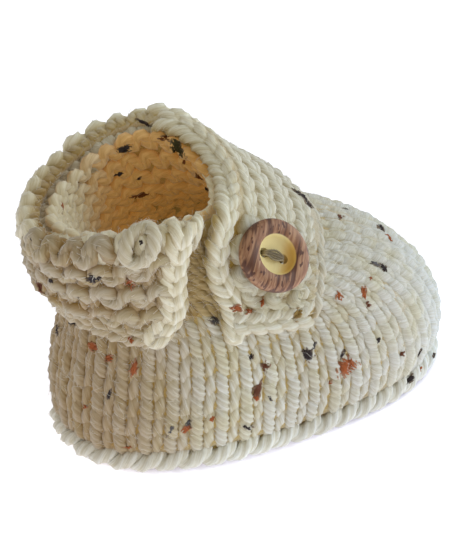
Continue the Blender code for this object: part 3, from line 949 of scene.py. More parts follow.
# A tone below 0 makes a chain pale, with a faint painted glow.
CHAINS = [                      # from stitch, from share, to stitch, to share, lift, thickness, tone
    (0.85, 1.00, 0.85, 0.05, 1.5, 1.0, -0.9),
    (0.60, 0.955, FLAP_FROM - 4, 0.955, 1.2, 1.0, -0.3),
    (FLAP_FROM - 4, 0.955, CUFF_STITCHES - 0.4, 0.955, 0.5, 0.85, -0.2),
    (CUFF_STITCHES, 0.105, FLAP_FROM - 1.5, 0.03, 1.4, 0.90, -0.7),
    (GARTER_AGAIN, 0.255, FLAP_FROM - 1.5, 0.155, 1.2, 0.90, -0.6),
    (GARTER_AGAIN, 0.44, FLAP_FROM - 1, 0.345, 1.3, 0.98, -0.6),
    (GARTER_AGAIN, 0.63, FLAP_FROM - 1, 0.555, 1.2, 1.02, -0.6),
    (GARTER_AGAIN, 0.82, FLAP_FROM - 1, 0.765, 1.1, 1.02, -0.5),
    (CUFF_STITCHES - 0.5, 0.1, CUFF_STITCHES - 0.5, 0.95, 1.6, 1.0, -0.4),
]
links = 0
for from_stitch, from_share, to_stitch, to_share, lift, thickness, tone in CHAINS:
    links += chain((from_stitch, from_share), (to_stitch, to_share), lift, thickness, tone)
print(links, "chain links")

# %% [markdown]
# ## The fold
# Over the rim the loops stand up as fat knobs. They are laid round the rim, each a short path from inside
# the collar over the top and down outside, with its own swell and slant. One slack loop near the near end
# lies open as a ring.

# %% Knobs over the fold
KNOBS = 29                      # from the near end to the flap
KNOB = [                        # along in knobs, out from the rim, up from the rim, thickness
    (-0.26, -1.9, -2.0, 0.80),
    (-0.18, -1.6, -1.1, 1.02),
    (-0.08, -0.9, -0.4, 1.15),
    (0.02, 0.1, -0.2, 1.22),
    (0.12, 1.3, -0.5, 1.18),
    (0.22, 2.2, -1.5, 1.08),
    (0.30, 2.3, -2.8, 0.85),
]
KNOB_STEPS, KNOB_LEAD, KNOB_GROOVE = 20, 11.0, 0.84
KNOB_SWELL, KNOB_SLANT, KNOB_UNEVEN = 0.25, 0.4, 0.06   # how much height, slant and thickness differ


def rim_side(stitch, out, up):
    """Points round the rim, at a stitch along the cuff."""
    turn = between(CUFF_STATIONS, station_of(np.clip(stitch, 0, None)))[..., 0]
    point, outward, upward = wall_frame(turn, np.full(turn.shape, RIM))
    return point + out[..., None] * outward + up[..., None] * upward, outward, upward


knob = (np.arange(KNOBS) + 0.5)[:, None] / KNOBS * FLAP_FROM
along, out, up, thick = strand_path(KNOB, KNOB_STEPS)
swell = chance.normal(0, KNOB_SWELL, knob.shape)
lean = chance.normal(1.0, KNOB_SLANT, knob.shape)
rim = rim_side(knob, 0 * knob, 0 * knob)[0]
near = fade(rim[..., 1], 0.0, -14.0)      # the near side stands a little higher
back = fade(rim[..., 0], -18.0, -32.0)    # at the heel the knobs reach in further
lean[:2, 0] = (3.0, 2.0)                  # at the near end they slant into the chain
inner = np.clip(-along / 0.26, 0.0, 1.0)          # 1 at a knob's inner end
outer = np.clip((along - 0.10) / 0.20, 0.0, 1.0)  # 1 at its outer end
out = out - 0.7 * back * inner
line, outward, upward = rim_side(knob + along * lean * FLAP_FROM / KNOBS, out,
                                 up + swell + (2.0 * near - 0.4) * (1 - 0.8 * outer))
facing = unit((out + 1.0)[..., None] * outward + (up + 2.5)[..., None] * upward)
thick = thick * chance.normal(1.0, KNOB_UNEVEN, knob.shape)
thick[:2] *= np.array([[0.70], [0.85]])
# Painted light and shade: a pale tone gives the knobs a faint painted glow, most on the near side, and round
# the heel their inner ends are painted darker, in the shade inside the fold.
tone = np.where(line[:, KNOB_STEPS // 2, 1:2] < 0, -0.9, -0.3) * (1 - outer) + 0.6 * back * inner
cuff_skein.lay(line, facing, 0 * out + swell - 0.8, YARN * thick, KNOB_LEAD, sides=16,
               groove=KNOB_GROOVE, tone=tone)
print(KNOBS, "knobs over the fold")

# %% [markdown]
# The slack loop is one strand in a circle. With it the cuff's yarn is complete and becomes one mesh.

# %% The slack loop, and the cuff as one mesh
ring_turn = np.linspace(0, 2 * math.pi * 1.04, 44)[None, :] + 2.4
line, outward = band(RING_STITCH + RING_LONG * np.cos(ring_turn),
                     RING_SHARE + RING_WIDE * np.sin(ring_turn), np.full(ring_turn.shape, 1.3))
cuff_skein.lay(line, outward, np.full(ring_turn.shape, 0.2), np.full(ring_turn.shape, YARN), BUMP_LEAD,
               tone=-0.5)
cuff_stitches = cuff_skein.piece("cuff_stitches", cuff_wool)

# %% [markdown]
# The cuff's own core closes the hollows between its strands, as the shell does under the upper. It lies
# higher on the flap, whose columns stand close together, and takes less painted shade there and in the fold.

# %% The cuff's core
CUFF_CORE_WALL = 1.7
# how much less painted shade the core takes in the fold and on the flap, and how far it lifts on the flap
FOLD_RISE, FLAP_RISE, FLAP_LIFT = 1.5, 1.7, 0.8
core_stitch = np.linspace(0.5, CUFF_STITCHES - 0.25, 120)[None, :]
core_down = np.linspace(0.02, 0.98, 36)[:, None]
on_flap = fade(core_stitch, FLAP_FROM - 3, FLAP_FROM - 1)
on_flap = on_flap * fade(core_stitch, GARTER_AGAIN + 1, GARTER_AGAIN)
core_line, _ = band(core_stitch + 0 * core_down, core_down + 0 * core_stitch,
                    0.1 + FLAP_LIFT * on_flap + 0 * core_down)
cuff_rise = CORE_RISE + np.where(core_down < FOLD_RIDGE, FOLD_RISE, FLAP_RISE * on_flap)
cuff_core = shell("cuff_core", core_line, CUFF_CORE_WALL, cuff_wool, cuff_rise, closed=False)

# %% [markdown]
# ## The sole
# The sole is garter stitch. Its edge, where the upper's stitches were picked up, is a row of fat slanting
# loops, and underneath the ridges run across the foot.

# %% Knit the sole
SOLE_BACK, SOLE_FRONT, SOLE_MIDDLE, SOLE_HALF_WIDTH, SOLE_SQUARENESS = -46.0, 46.0, 6.0, 26.4, 2.38
EDGE_LOOPS = 46
EDGE_LEAD, EDGE_SLIP, EDGE_OUT = 10.0, 0.04, 0.12   # twist of the plies, and how uneven the loops are
EDGE_LOOP = [                   # along in loops, height, out, thickness
    (-0.74, 1.4, -2.9, 0.72),
    (-0.46, 1.6, -1.8, 1.02),
    (-0.14, 2.0, -1.3, 1.16),
    (0.18, 2.9, -1.3, 1.16),
    (0.50, 3.8, -1.8, 1.02),
    (0.76, 4.5, -2.9, 0.72),
]


def sole_outline(turn, draw_in):
    c = power(np.cos(2 * math.pi * turn), SOLE_SQUARENESS)
    s = power(np.sin(2 * math.pi * turn), SOLE_SQUARENESS)
    x = SOLE_MIDDLE + (np.where(c > 0, SOLE_FRONT - SOLE_MIDDLE, SOLE_MIDDLE - SOLE_BACK) - draw_in) * c
    return np.stack([x, (SOLE_HALF_WIDTH - draw_in) * s, spring(x)], -1)


outline = sole_outline(around, 0.0)
outline_length = run_length(outline)


def sole_edge(loop, height, out):
    """Points off the sole's side, at a loop along its edge."""
    part = np.mod(loop / EDGE_LOOPS, 1.0)
    turn = np.interp(part * outline_length[-1], outline_length, around)
    step = 0.003
    ahead = unit(sole_outline(turn + step, 0.0) - sole_outline(turn - step, 0.0))
    outward = unit(np.cross(ahead, np.array([0.0, 0.0, 1.0])))
    point = sole_outline(turn, 0.0) + out[..., None] * outward
    point[..., 2] += height
    return point, outward


sole_skein = Skein()
loops = np.arange(EDGE_LOOPS, dtype=float)[:, None]
along, height, out, thick = strand_path(EDGE_LOOP, LEG_STEPS)
along = along + chance.normal(0, EDGE_SLIP, loops.shape)
out = out + chance.normal(0, EDGE_OUT, loops.shape)
line, outward = sole_edge(loops + along, height + 0 * loops, out)
sole_skein.lay(line, outward, out + 1.4, YARN * thick + 0 * loops, EDGE_LEAD, 16, tone=-1.0)
print(EDGE_LOOPS, "loops round the sole")

# %% [markdown]
# Underneath, the ridges are arcs as on the cuff, laid flat and kept inside the sole's outline. They show
# only when the shoe is turned over.

# %% Ridges under the sole
SOLE_RIDGE, SOLE_BUMP, UNDER_YARN = 6.2, 5.2, 1.1
UNDER_MARGIN = 4.5              # how far the ridges stay inside the outline
UNDER_ARC = arch([              # along in bumps, sideways in ridges, height, thickness
    (-0.62, 0.25, 2.2, 0.7), (-0.38, 0.10, 1.35, 0.9), (-0.14, -0.18, 1.22, 0.95),
])
ridge_x, bump_y = np.meshgrid(np.arange(SOLE_BACK + 6, SOLE_FRONT - 4, SOLE_RIDGE),
                              np.arange(-4, 5) * SOLE_BUMP, indexing="ij")
ridge_x, bump_y = ridge_x.ravel(), bump_y.ravel()
reach_x = np.where(ridge_x > SOLE_MIDDLE, SOLE_FRONT - SOLE_MIDDLE, SOLE_MIDDLE - SOLE_BACK) - UNDER_MARGIN
inside = (np.abs((ridge_x - SOLE_MIDDLE) / reach_x) ** SOLE_SQUARENESS
          + np.abs(bump_y / (SOLE_HALF_WIDTH - UNDER_MARGIN)) ** SOLE_SQUARENESS) < 1
ridge_x, bump_y = ridge_x[inside][:, None], bump_y[inside][:, None]
for flip, shift in ((1.0, 0.0), (-1.0, 0.5)):
    along, sideways, height, thick = strand_path(UNDER_ARC, BUMP_STEPS)
    x = ridge_x + flip * sideways * SOLE_RIDGE
    y = bump_y + (along + shift) * SOLE_BUMP
    line = np.stack([x, y, height + spring(x)], -1)
    down_out = np.broadcast_to(np.array([0.0, 0.0, -1.0]), line.shape)
    sole_skein.lay(line, down_out, -height + 0.8 + 0 * x, UNDER_YARN * thick + 0 * x, BUMP_LEAD)
sole_stitches = sole_skein.piece("sole_stitches", sole_wool)
print(2 * len(ridge_x), "bumps under the sole")

# %% [markdown]
# The sole's core is a flat, closed pad a little smaller than the loops, in rings from below to above.

# %% The sole's core
SOLE_CORE = [                   # height, how far the outline draws in
    (1.0, 40.0), (1.0, 20.0), (1.0, 4.0), (1.5, 2.6), (2.6, 2.0), (3.8, 2.2), (4.5, 3.0), (4.5, 20.0),
    (4.5, 40.0),
]
CORE_INSET, CORE_SPAN = 4.0, 41.0   # past the inset a ring shrinks to the middle instead
middle = np.array([SOLE_MIDDLE, 0.0, 0.0])
core_rings = []
for height, draw_in in SOLE_CORE:
    ring = sole_outline(core_turn, min(draw_in, CORE_INSET))
    shrink = 1.0 if draw_in <= CORE_INSET else 1.0 - draw_in / CORE_SPAN
    ring = middle + (ring - middle) * np.array([shrink, shrink, 1.0])
    ring[:, 2] = height + spring(ring[:, 0])
    core_rings.append(ring)
sole_core = shell("sole_core", np.array(core_rings), 0.4, sole_wool, CORE_RISE)

# %% [markdown]
# ## The button
# A small turned wooden button with a pale, dished middle and two holes. It could be a Screw modifier on a
# profile; here a circle is extruded and scaled step by step, as a turner works along a piece, and two
# drills are cut out of it with Boolean modifiers.

# %% Turn the button
BUTTON_AROUND = 96
BUTTON_PROFILE = [              # radius, height
    (6.3, 0.0), (7.0, 0.2), (7.4, 0.65), (7.6, 1.4), (7.55, 2.2), (7.3, 2.8), (6.8, 3.25), (6.0, 3.5),
    (5.2, 3.5), (4.4, 3.42), (4.05, 3.1), (3.9, 2.6), (3.75, 2.0), (3.3, 1.6), (2.5, 1.43), (1.0, 1.4),
]

bpy.ops.object.select_all(action="DESELECT")
bpy.ops.mesh.primitive_circle_add(vertices=BUTTON_AROUND, radius=BUTTON_PROFILE[0][0] * MM)
button = bpy.context.object
button.name = button.data.name = "wood_button"
bpy.ops.object.mode_set(mode="EDIT")
bpy.ops.mesh.select_all(action="SELECT")
for (radius, height), (next_radius, next_height) in zip(BUTTON_PROFILE, BUTTON_PROFILE[1:]):
    bpy.ops.mesh.extrude_region_move(TRANSFORM_OT_translate={"value": (0, 0, (next_height - height) * MM)})
    ratio = next_radius / radius
    bpy.ops.transform.resize(value=(ratio, ratio, 1.0), center_override=(0, 0, next_height * MM))
bpy.ops.mesh.edge_face_add()
bpy.ops.mesh.select_all(action="DESELECT")
bpy.ops.mesh.select_non_manifold()
bpy.ops.mesh.edge_face_add()
bpy.ops.mesh.select_all(action="SELECT")
bpy.ops.mesh.normals_make_consistent(inside=False)
bpy.ops.object.mode_set(mode="OBJECT")
print("button with", len(button.data.vertices), "points")

# %% [markdown]
# The two holes are drilled while the button still lies flat. Its rim is then made a little uneven, as a
# slice of a branch is, and the finished mesh is turned and moved on to the flap.

# %% Drill it and set it on the flap
HOLE_RADIUS, HOLE_APART, DRILL_LENGTH = 1.0, 4.4, 10.5
BUTTON_TURN = 33.5              # degrees from the flap's length to the line through the holes
BUTTON_CENTRE = (-11.95, -26.2, 48.45)
BUTTON_NORMAL = (0.06, -0.79, 0.61)
for sign in (-1, 1):
    bpy.ops.object.select_all(action="DESELECT")
    bpy.ops.mesh.primitive_cylinder_add(vertices=32, radius=HOLE_RADIUS * MM, depth=DRILL_LENGTH * MM,
                                        location=(sign * HOLE_APART / 2 * MM, 0, 0))
    drill = bpy.context.object
    bpy.ops.object.select_all(action="DESELECT")
    button.select_set(True)
    bpy.context.view_layer.objects.active = button
    cut = button.modifiers.new("hole", "BOOLEAN")
    cut.operation, cut.object = "DIFFERENCE", drill
    bpy.ops.object.modifier_apply(modifier="hole")
    bpy.data.objects.remove(drill, do_unlink=True)
bpy.ops.object.shade_smooth_by_angle(angle=math.radians(40))
spots = np.array([corner.co for corner in button.data.vertices]) / MM
spin = np.arctan2(spots[:, 1], spots[:, 0])
uneven = 1 + 0.013 * np.cos(2 * spin - 0.9) + 0.007 * np.cos(3 * spin + 1.0)
uneven = 1 + (uneven - 1) * fade(np.hypot(spots[:, 0], spots[:, 1]), 4.5, 6.5)
for corner, factor in zip(button.data.vertices, uneven):
    corner.co.x *= factor
    corner.co.y *= factor
keep_values(button.data, "spot", "FLOAT_VECTOR", spots)

out_of_flap = Vector(BUTTON_NORMAL).normalized()
along_holes = (Vector((1, 0, 0)) - out_of_flap * out_of_flap.x).normalized()
along_holes = Matrix.Rotation(math.radians(-BUTTON_TURN), 3, out_of_flap) @ along_holes
button_place = Matrix((along_holes, out_of_flap.cross(along_holes), out_of_flap)).transposed().to_4x4()
button_place.translation = Vector(BUTTON_CENTRE) * MM
button.data.transform(button_place)
print("button at", [round(c, 1) for c in BUTTON_CENTRE])

# %% [markdown]
# ## Wood
# The ring is reddish brown with dark streaks of grain and small pores, and the dish is pale, bare sapwood
# with a painted golden shade towards one side.
# The material reads the button's own coordinates, kept on its points, so the grain runs one way across it.

# %% The wood's material
RED_BROWN = (0.25, 0.105, 0.05, 1.0)
LIGHT_BROWN = (0.47, 0.26, 0.145, 1.0)
DARK_GRAIN = (0.085, 0.026, 0.014, 1.0)
SAPWOOD, GOLDEN_SHADE = (0.86, 0.73, 0.36, 1.0), (0.74, 0.46, 0.11, 1.0)

GRAIN_LEAN = 14.0              # degrees between the holes' line and across the grain
wood_paint = Paint("button wood")
spot = wood_paint.attribute("spot", ATTRIBUTE_VECTOR)


def along_grain(scale):
    """The button's coordinates turned to the grain and stretched."""
    inputs = {"Vector": spot, "Rotation": (0, 0, math.radians(GRAIN_LEAN)), "Scale": scale}
    return wood_paint.node("ShaderNodeMapping", {}, inputs)


streaks = wood_paint.noise(along_grain((1.0, 0.10, 0.3)), 0.85)
fine_streaks = wood_paint.noise(along_grain((1.0, 0.10, 0.3)), 2.2, 2.0, 0.6)
pores = wood_paint.noise(along_grain((1.0, 0.45, 0.5)), 1.25, 1.0)
colour = wood_paint.mix(wood_paint.ramp(fine_streaks, 0.35, 0.7), RED_BROWN, LIGHT_BROWN)
colour = wood_paint.mix(wood_paint.ramp(streaks, 0.50, 0.60) * 0.85, colour, DARK_GRAIN)
colour = wood_paint.mix(wood_paint.ramp(pores, 0.61, 0.66) * 0.9, colour, DARK_GRAIN)
from_middle = wood_paint.node("ShaderNodeVectorMath", {"operation": "LENGTH"}, {
    0: wood_paint.node("ShaderNodeVectorMath", {"operation": "MULTIPLY"}, {0: spot, 1: (1.0, 1.0, 0.0)})}, 1)
# painted shade: the dish turns golden towards one side, as its wall shades it
dish_with_shade = wood_paint.mix(wood_paint.ramp(wood_paint.part(spot, 0), 0.8, 3.6), SAPWOOD, GOLDEN_SHADE)
colour = wood_paint.mix(wood_paint.ramp(from_middle, 4.25, 4.05), colour, dish_with_shade)
wood_bump = wood_paint.node("ShaderNodeBump", {}, {"Strength": 0.5, "Distance": 0.0004,
                                                   "Height": 1.0 - streaks})
button.data.materials.append(wood_paint.finish(Base_Color=colour, Roughness=0.5, Normal=wood_bump))
print("wood with grain and pores")

# %% [markdown]
# ## The button's thread
# Five strands of grey-beige sewing thread cross the dish from one hole to the other. They are laid like the
# yarn, only finer, in the button's own coordinates.

# %% Sew the button on
THREAD, THREAD_LEAD = 0.27, 1.3
THREAD_STRANDS, THREAD_APART, THREAD_STEPS = 5, 0.36, 25
THREAD_COLOURS = ((0.50, 0.42, 0.28, 1.0), (0.27, 0.21, 0.13, 1.0))
THREAD_LINE = [                 # along the holes, height over the button's back
    (-2.25, -0.9), (-2.25, 1.0), (-1.9, 1.75), (-1.0, 2.05), (0.0, 2.1), (1.0, 2.05), (1.9, 1.75),
    (2.25, 1.0), (2.25, -0.9),
]
thread_paint = Paint("sewing thread")
thread_tone = thread_paint.attribute("tone", ATTRIBUTE_VALUE)
thread_streak = thread_paint.noise(thread_paint.attribute("fibre", ATTRIBUTE_VECTOR), 9.0)
thread_colour = thread_paint.mix(thread_tone * 0.6 + thread_streak * 0.4, *THREAD_COLOURS)
thread_wool = thread_paint.finish(Base_Color=thread_colour, Roughness=0.7)

thread_skein = Skein()
x, z = between(THREAD_LINE, np.linspace(0, len(THREAD_LINE) - 1, THREAD_STEPS)).T
sideways = (np.arange(THREAD_STRANDS) - (THREAD_STRANDS - 1) / 2)[:, None] * THREAD_APART
spread = sideways * (0.55 + 0.75 * np.cos(x / 2.3 * math.pi / 2) ** 2)
spread = spread + 0.25 * np.sin(sideways * 9) * np.cos(x)
local = np.stack([x + 0 * sideways, spread, z + 0.1 * np.cos(sideways * 7) + 0 * x], -1)
place = np.array(button_place)
line = local @ place[:3, :3].T + place[:3, 3] / MM
outward = np.broadcast_to(place[:3, 2], line.shape)
thread_skein.lay(line, outward, np.zeros(line.shape[:2]), np.full(line.shape[:2], THREAD), THREAD_LEAD)
button_threads = thread_skein.piece("button_threads", thread_wool)

# %% [markdown]
# ## Flecks
# Tweed yarn is spun with small tufts of dark and rust-coloured fibre. Each tuft is a blob of short fibres
# that lie over the stitches and fade into the cream at its edge. The large ones are placed by the pixel
# where they show: a ray from the camera finds the strand there, and every fibre is then dropped on the
# stitches along the cloth's own outward direction.

# %% Find the cloth under a pixel
def surface_tree(pieces):
    points, faces = [], []
    for piece in pieces:
        start = len(points)
        points += [corner.co / MM for corner in piece.data.vertices]
        faces += [[start + i for i in polygon.vertices] for polygon in piece.data.polygons]
    return BVHTree.FromPolygons(points, faces)


knit = surface_tree([upper_stitches, upper_core, collar_lining, cuff_stitches, cuff_core, sole_stitches,
                     sole_core])
view_right = Vector((math.cos(VIEW_TURN), math.sin(VIEW_TURN), 0.0))
view_up = view_back.cross(view_right)
NEAR_PIXELS = [(0, 0), (-6, 0), (6, 0), (0, -6), (0, 6), (-4, -4), (4, 4), (-4, 4), (4, -4)]


def sight(x, y):
    """Direction from the camera through a pixel."""
    scale = PIXELS_PER_MM * VIEW_DISTANCE
    return (view_right * ((x - TARGET_PIXEL[0]) / scale) - view_up * ((y - TARGET_PIXEL[1]) / scale)
            - view_back).normalized()


def under_pixel(x, y):
    """Place on the cloth under a pixel, and the cloth's outward direction round it."""
    hits = [knit.ray_cast(eye, sight(x + dx, y + dy)) for dx, dy in NEAR_PIXELS]
    facing = sum((hit[1] for hit in hits if hit[0] is not None), Vector())
    return hits[0][0], (facing.normalized() + view_back * 0.3).normalized()


print("first ray through the middle meets the cloth at", under_pixel(230, 270)[0].to_tuple(1))

# %% [markdown]
# The table lists the tufts in view, each with its place, size, slant and colour.

# %% The tufts in view
FLECKS = [                      # pixel x, y, length, width in millimetres, lean in degrees, colour
    (304, 197, 4.6, 1.8, -36, "dark"), (347, 210, 1.6, 1.0, 60, "dark"), (340, 217, 1.6, 0.8, 30, "brown"),
    (380, 227, 2.2, 1.3, -70, "dark"), (389, 237, 2.2, 1.0, -50, "rust"), (376, 264, 2.6, 0.7, -10, "grey"),
    (384, 269, 2.0, 1.2, -75, "dark"), (339, 296, 1.9, 1.1, -60, "rust"), (364, 293, 2.3, 1.3, -80, "rust"),
    (368, 304, 1.6, 0.8, -60, "brown"), (370, 278, 1.0, 0.6, 0, "rust"), (307, 354, 2.6, 2.0, -70, "dark"),
    (313, 346, 1.6, 0.9, 40, "grey"), (347, 366, 3.6, 3.0, -60, "rust"), (343, 354, 1.6, 1.0, 50, "dark"),
    (378, 340, 1.4, 0.9, 80, "dark"), (402, 354, 1.3, 1.1, 0, "brown"), (420, 351, 2.6, 0.3, 60, "dark"),
    (421, 368, 1.6, 0.4, 50, "rust"), (410, 379, 2.3, 1.1, 35, "dark"), (434, 356, 1.5, 0.8, 80, "dark"),
    (250, 357, 1.6, 0.9, 80, "dark"), (265, 366, 1.9, 1.2, 80, "brown"), (258, 390, 3.0, 1.1, 80, "brown"),
    (256, 398, 1.4, 1.0, 80, "rust"), (270, 398, 1.6, 0.4, -60, "dark"), (236, 308, 2.2, 1.2, -10, "rust"),
    (249, 311, 1.6, 0.8, 10, "rust"), (262, 303, 1.6, 0.8, 70, "rust"), (215, 321, 2.2, 1.0, -45, "grey"),
    (124, 149, 2.6, 1.5, 10, "dark"), (177, 149, 4.4, 1.5, -70, "olive"), (144, 123, 3.0, 0.5, -25, "dark"),
    (120, 174, 2.0, 0.7, 10, "dark"), (139, 178, 1.3, 0.8, 0, "dark"), (207, 189, 1.5, 0.9, 60, "dark"),
    (200, 177, 2.2, 1.4, -80, "umber"), (165, 138, 2.0, 0.6, 0, "umber"), (184, 162, 1.4, 0.5, 60, "umber"),
    (62, 206, 1.2, 0.7, 80, "rust"), (94, 278, 2.8, 1.8, 30, "dark"), (129, 282, 1.9, 1.3, 70, "rust"),
    (41, 286, 2.4, 1.2, -70, "brown"), (51, 281, 1.3, 0.7, 0, "dark"), (141, 242, 1.0, 0.6, 80, "dark"),
    (72, 323, 2.2, 0.5, 0, "dark"), (57, 330, 1.7, 1.1, 80, "dark"), (93, 346, 2.4, 1.4, -20, "rust"),
    (109, 358, 1.9, 1.1, 0, "rust"), (134, 369, 2.8, 1.0, 80, "rust"), (109, 394, 2.2, 0.6, 80, "dark"),
    (85, 407, 1.0, 0.6, 0, "rust"), (186, 429, 2.0, 1.3, 60, "rust"), (188, 423, 1.6, 0.9, 60, "grey"),
    (212, 419, 1.3, 0.8, 60, "rust"), (171, 430, 2.6, 0.5, 70, "grey"), (247, 428, 2.4, 0.5, -40, "dark"),
    (128, 447, 1.2, 0.7, 0, "rust"), (330, 383, 1.2, 0.7, 40, "rust"), (131, 340, 1.4, 0.8, -20, "rust"),
    (140, 195, 3.6, 0.8, 0, "umber"), (297, 313, 2.0, 1.6, 0, "ochre"),
]
FLECK_COLOURS = {
    "dark": (0.044, 0.032, 0.033, 1.0), "grey": (0.12, 0.115, 0.12, 1.0), "brown": (0.17, 0.06, 0.03, 1.0),
    "rust": (0.43, 0.12, 0.035, 1.0), "olive": (0.07, 0.065, 0.02, 1.0), "umber": (0.22, 0.075, 0.015, 1.0),
    "ochre": (0.34, 0.22, 0.06, 1.0),
}
print(len(FLECKS), "tufts in", len(FLECK_COLOURS), "colours")

# %% [markdown]
# A tuft's fibres are scattered round its middle, each with its own turn, and a fibre that finds no cloth
# below it is left out.

# %% Lay the tufts
FLECK_FADE = (0.50, 0.38, 0.26, 1.0)   # the outer fibres mix with the cream
FIBRES_PER_MM2 = 15.0
FIBRE_STEPS = 3
FIBRE, FIBRE_LIFT = 0.22, 0.16  # radius of a tuft's fibre, and how far off the cloth it lies
DROP_FROM, DROP_REACH = 2.5, 6.0
fleck_lines = {name: [] for name in FLECK_COLOURS}
fleck_edges = {name: [] for name in FLECK_COLOURS}


def drop(point, outward):
    """The cloth's surface below a point."""
    hit = knit.ray_cast(point + outward * DROP_FROM, -outward, DROP_REACH)[0]
    return hit + outward * FIBRE_LIFT if hit else None


def tuft(place, outward, forward, length, width, colour):
    sideways = outward.cross(forward)
    for _ in range(max(6, int(length * width * FIBRES_PER_MM2))):
        start, offset, turn, share = chance.normal(0, [0.22 * length, 0.30 * width, 0.22, 0.08])
        heading = forward * math.cos(turn) + sideways * math.sin(turn)
        middle = place + forward * start + sideways * offset
        run = np.linspace(-0.5, 0.5, FIBRE_STEPS) * length * max(0.38 + share, 0.2)
        spots = [drop(middle + heading * step, outward) for step in run]
        if None not in spots:
            fleck_lines[colour].append([[*spot, *outward] for spot in spots])
            fleck_edges[colour].append(min(1.0, math.hypot(start / length, offset / width) * 1.5))


for x, y, length, width, lean, colour in FLECKS:
    place, outward = under_pixel(x, y)
    if place is None:
        continue
    lean = math.radians(lean)
    forward = view_right * math.cos(lean) + view_up * math.sin(lean)
    forward = (forward - outward * forward.dot(outward)).normalized()
    tuft(place, outward, forward, length, width, colour)
print(sum(len(lines) for lines in fleck_lines.values()), "fibres in view")

# %% [markdown]
# A seeded scatter adds tufts on the sides that the camera doesn't see. All fibres of one colour become one
# mesh, because they share a material.

# %% Tufts on the hidden sides, and one mesh for each colour
HIDDEN_FLECKS = 46
HIDDEN_BOX = ((-35, 35), (-5, 12), (6, 40))   # the rays aim at places in this box
RAY_FROM, HIDDEN_ROOM = 90, 3   # where a ray starts, and the room round a tuft that must be hidden too
hidden = 0
while hidden < HIDDEN_FLECKS:
    outward = Vector(chance.normal(0, 1, 3))
    outward = Vector((outward.x, abs(outward.y) * 0.8 + 0.1, abs(outward.z) * 0.6)).normalized()
    aim = Vector([chance.uniform(*span) for span in HIDDEN_BOX])
    hit = knit.ray_cast(aim + outward * RAY_FROM, -outward)
    if hit[0] is None:
        continue
    aside, above = view_right * HIDDEN_ROOM, view_up * HIDDEN_ROOM
    starts = [hit[0] + step + view_back * HIDDEN_ROOM for step in (Vector(), aside, -aside, above, -above)]
    if any(knit.ray_cast(start, view_back)[0] is None for start in starts):
        continue
    forward = outward.orthogonal()
    length, width = chance.uniform(1.2, 3.2), chance.uniform(0.6, 1.6)
    tuft(hit[0], outward, forward, length, width, ("dark", "rust", "brown")[hidden % 3])
    hidden += 1

fleck_pieces = []
for name, lines in fleck_lines.items():
    skein = Skein()
    line = np.array(lines)
    radius = FIBRE * np.sin(np.linspace(0.4, math.pi - 0.4, FIBRE_STEPS)) * np.ones(line.shape[:2])
    skein.lay(line[..., :3], line[..., 3:], 0 * radius, radius, 9.0, sides=3, groove=1.0,
              tone=fleck_edges[name])
    paint = Paint(name + " fleck")
    tone = paint.attribute("tone", ATTRIBUTE_VALUE)
    colour = paint.mix(paint.ramp(tone, 0.5, 1.2) * 0.6, FLECK_COLOURS[name], FLECK_FADE)
    fleck_pieces.append(skein.piece(name + "_flecks", paint.finish(Base_Color=colour, Roughness=0.9)))

# %% [markdown]
# ## Fuzz
# Loose fibres lie along the plies everywhere, and their ends stand off and soften the outline. A hair system
# could grow them, but many thousand fine three-sided strands, which start along the ply that they come from
# and bend with the yarn, do the same as a plain mesh.

# %% Fine hairs over the wool
HAIRS = {                       # solid: the piece that carries them, its yarn, how many
    "upper": (upper_stitches, upper_skein, 11000),
    "cuff": (cuff_stitches, cuff_skein, 9500),
    "sole": (sole_stitches, sole_skein, 2200),
}
HAIR, HAIR_STEPS = 0.04, 3
HAIR_LENGTH, HAIR_LIFT, HAIR_BEND = (0.9, 2.4), (0.05, 0.55), (0.0, 1.0)
HAIR_STRAY, HAIR_WAVE = 0.3, 0.06
BARE_SHARE = 0.45               # the lower part of the yarn, where no hair starts
HAIR_COLOURS = ((0.84, 0.80, 0.68, 1.0), (0.92, 0.91, 0.84, 1.0))
hair_paint = Paint("loose wool")
hair_tone = hair_paint.attribute("tone", ATTRIBUTE_VALUE)
hair_colour = hair_paint.mix(hair_tone, *HAIR_COLOURS)
hair_wool = hair_paint.finish(Base_Color=hair_colour, Roughness=0.9)
hair_pieces = []
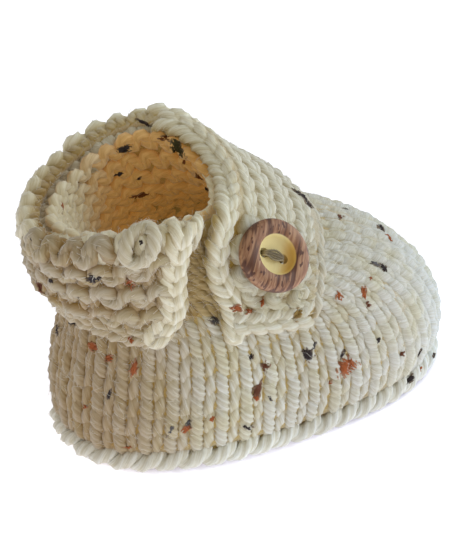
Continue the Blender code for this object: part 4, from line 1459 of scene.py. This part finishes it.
for name, (piece, skein, count) in HAIRS.items():
    points, rise, course = map(np.concatenate, (skein.points, skein.rise, skein.course))
    facing = np.zeros(len(points) * 3)
    piece.data.vertex_normals.foreach_get("vector", facing)
    roots = chance.choice(np.flatnonzero(rise > np.quantile(rise, BARE_SHARE)), count)
    root, outward = points[roots], facing.reshape(-1, 3)[roots]
    heading = unit(course[roots]) * chance.choice([-1, 1], (count, 1))
    heading = unit(heading + chance.normal(0, HAIR_STRAY, (count, 3)))
    heading = unit(heading - outward * (heading * outward).sum(1, keepdims=True))
    gone = chance.uniform(*HAIR_LENGTH, (count, 1)) * np.linspace(0, 1, HAIR_STEPS)
    lift, bend = chance.uniform(*HAIR_LIFT, (count, 1)), chance.uniform(*HAIR_BEND, (count, 1))
    off = lift * gone - bend * gone ** 2 / (2 * YARN)
    line = root[:, None] + gone[..., None] * heading[:, None] + off[..., None] * outward[:, None]
    line += chance.normal(0, HAIR_WAVE, (count, 1, 3)) * gone[..., None] ** 2
    line[..., 2] = np.maximum(line[..., 2], HAIR)   # none goes below the floor
    radius = HAIR * np.linspace(1.1, 0.3, HAIR_STEPS) * np.ones((count, 1))
    fuzz = Skein()
    fuzz.lay(line, np.repeat(outward[:, None], HAIR_STEPS, 1), 0 * radius, radius, 9.0, sides=3, groove=1.0)
    hair_pieces.append(fuzz.piece(name + "_fuzz", hair_wool))

# %% [markdown]
# ## The pieces on the body
# Every piece rides on the shoe's one body and takes the place of its plain solid.

# %% Ride and replace
PIECES = [                      # piece, finish, the solid it stands for
    (upper_stitches, "upper_wool", "upper"),
    (upper_core, "upper_wool", "upper"),
    (collar_lining, "upper_wool", "upper"),
    (cuff_stitches, "cuff_wool", "cuff"),
    (cuff_core, "cuff_wool", "cuff"),
    (sole_stitches, "sole_wool", "sole"),
    (sole_core, "sole_wool", "sole"),
    (button, "button_wood", "button"),
    (button_threads, "thread", "button_thread"),
]
PIECES += [(piece, "upper_wool", "upper") for piece in fleck_pieces]
PIECES += [(piece, solid + "_wool", solid) for piece, solid in zip(hair_pieces, HAIRS)]
for piece, finish, solid in PIECES:
    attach(piece, "root")
    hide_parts(solid)
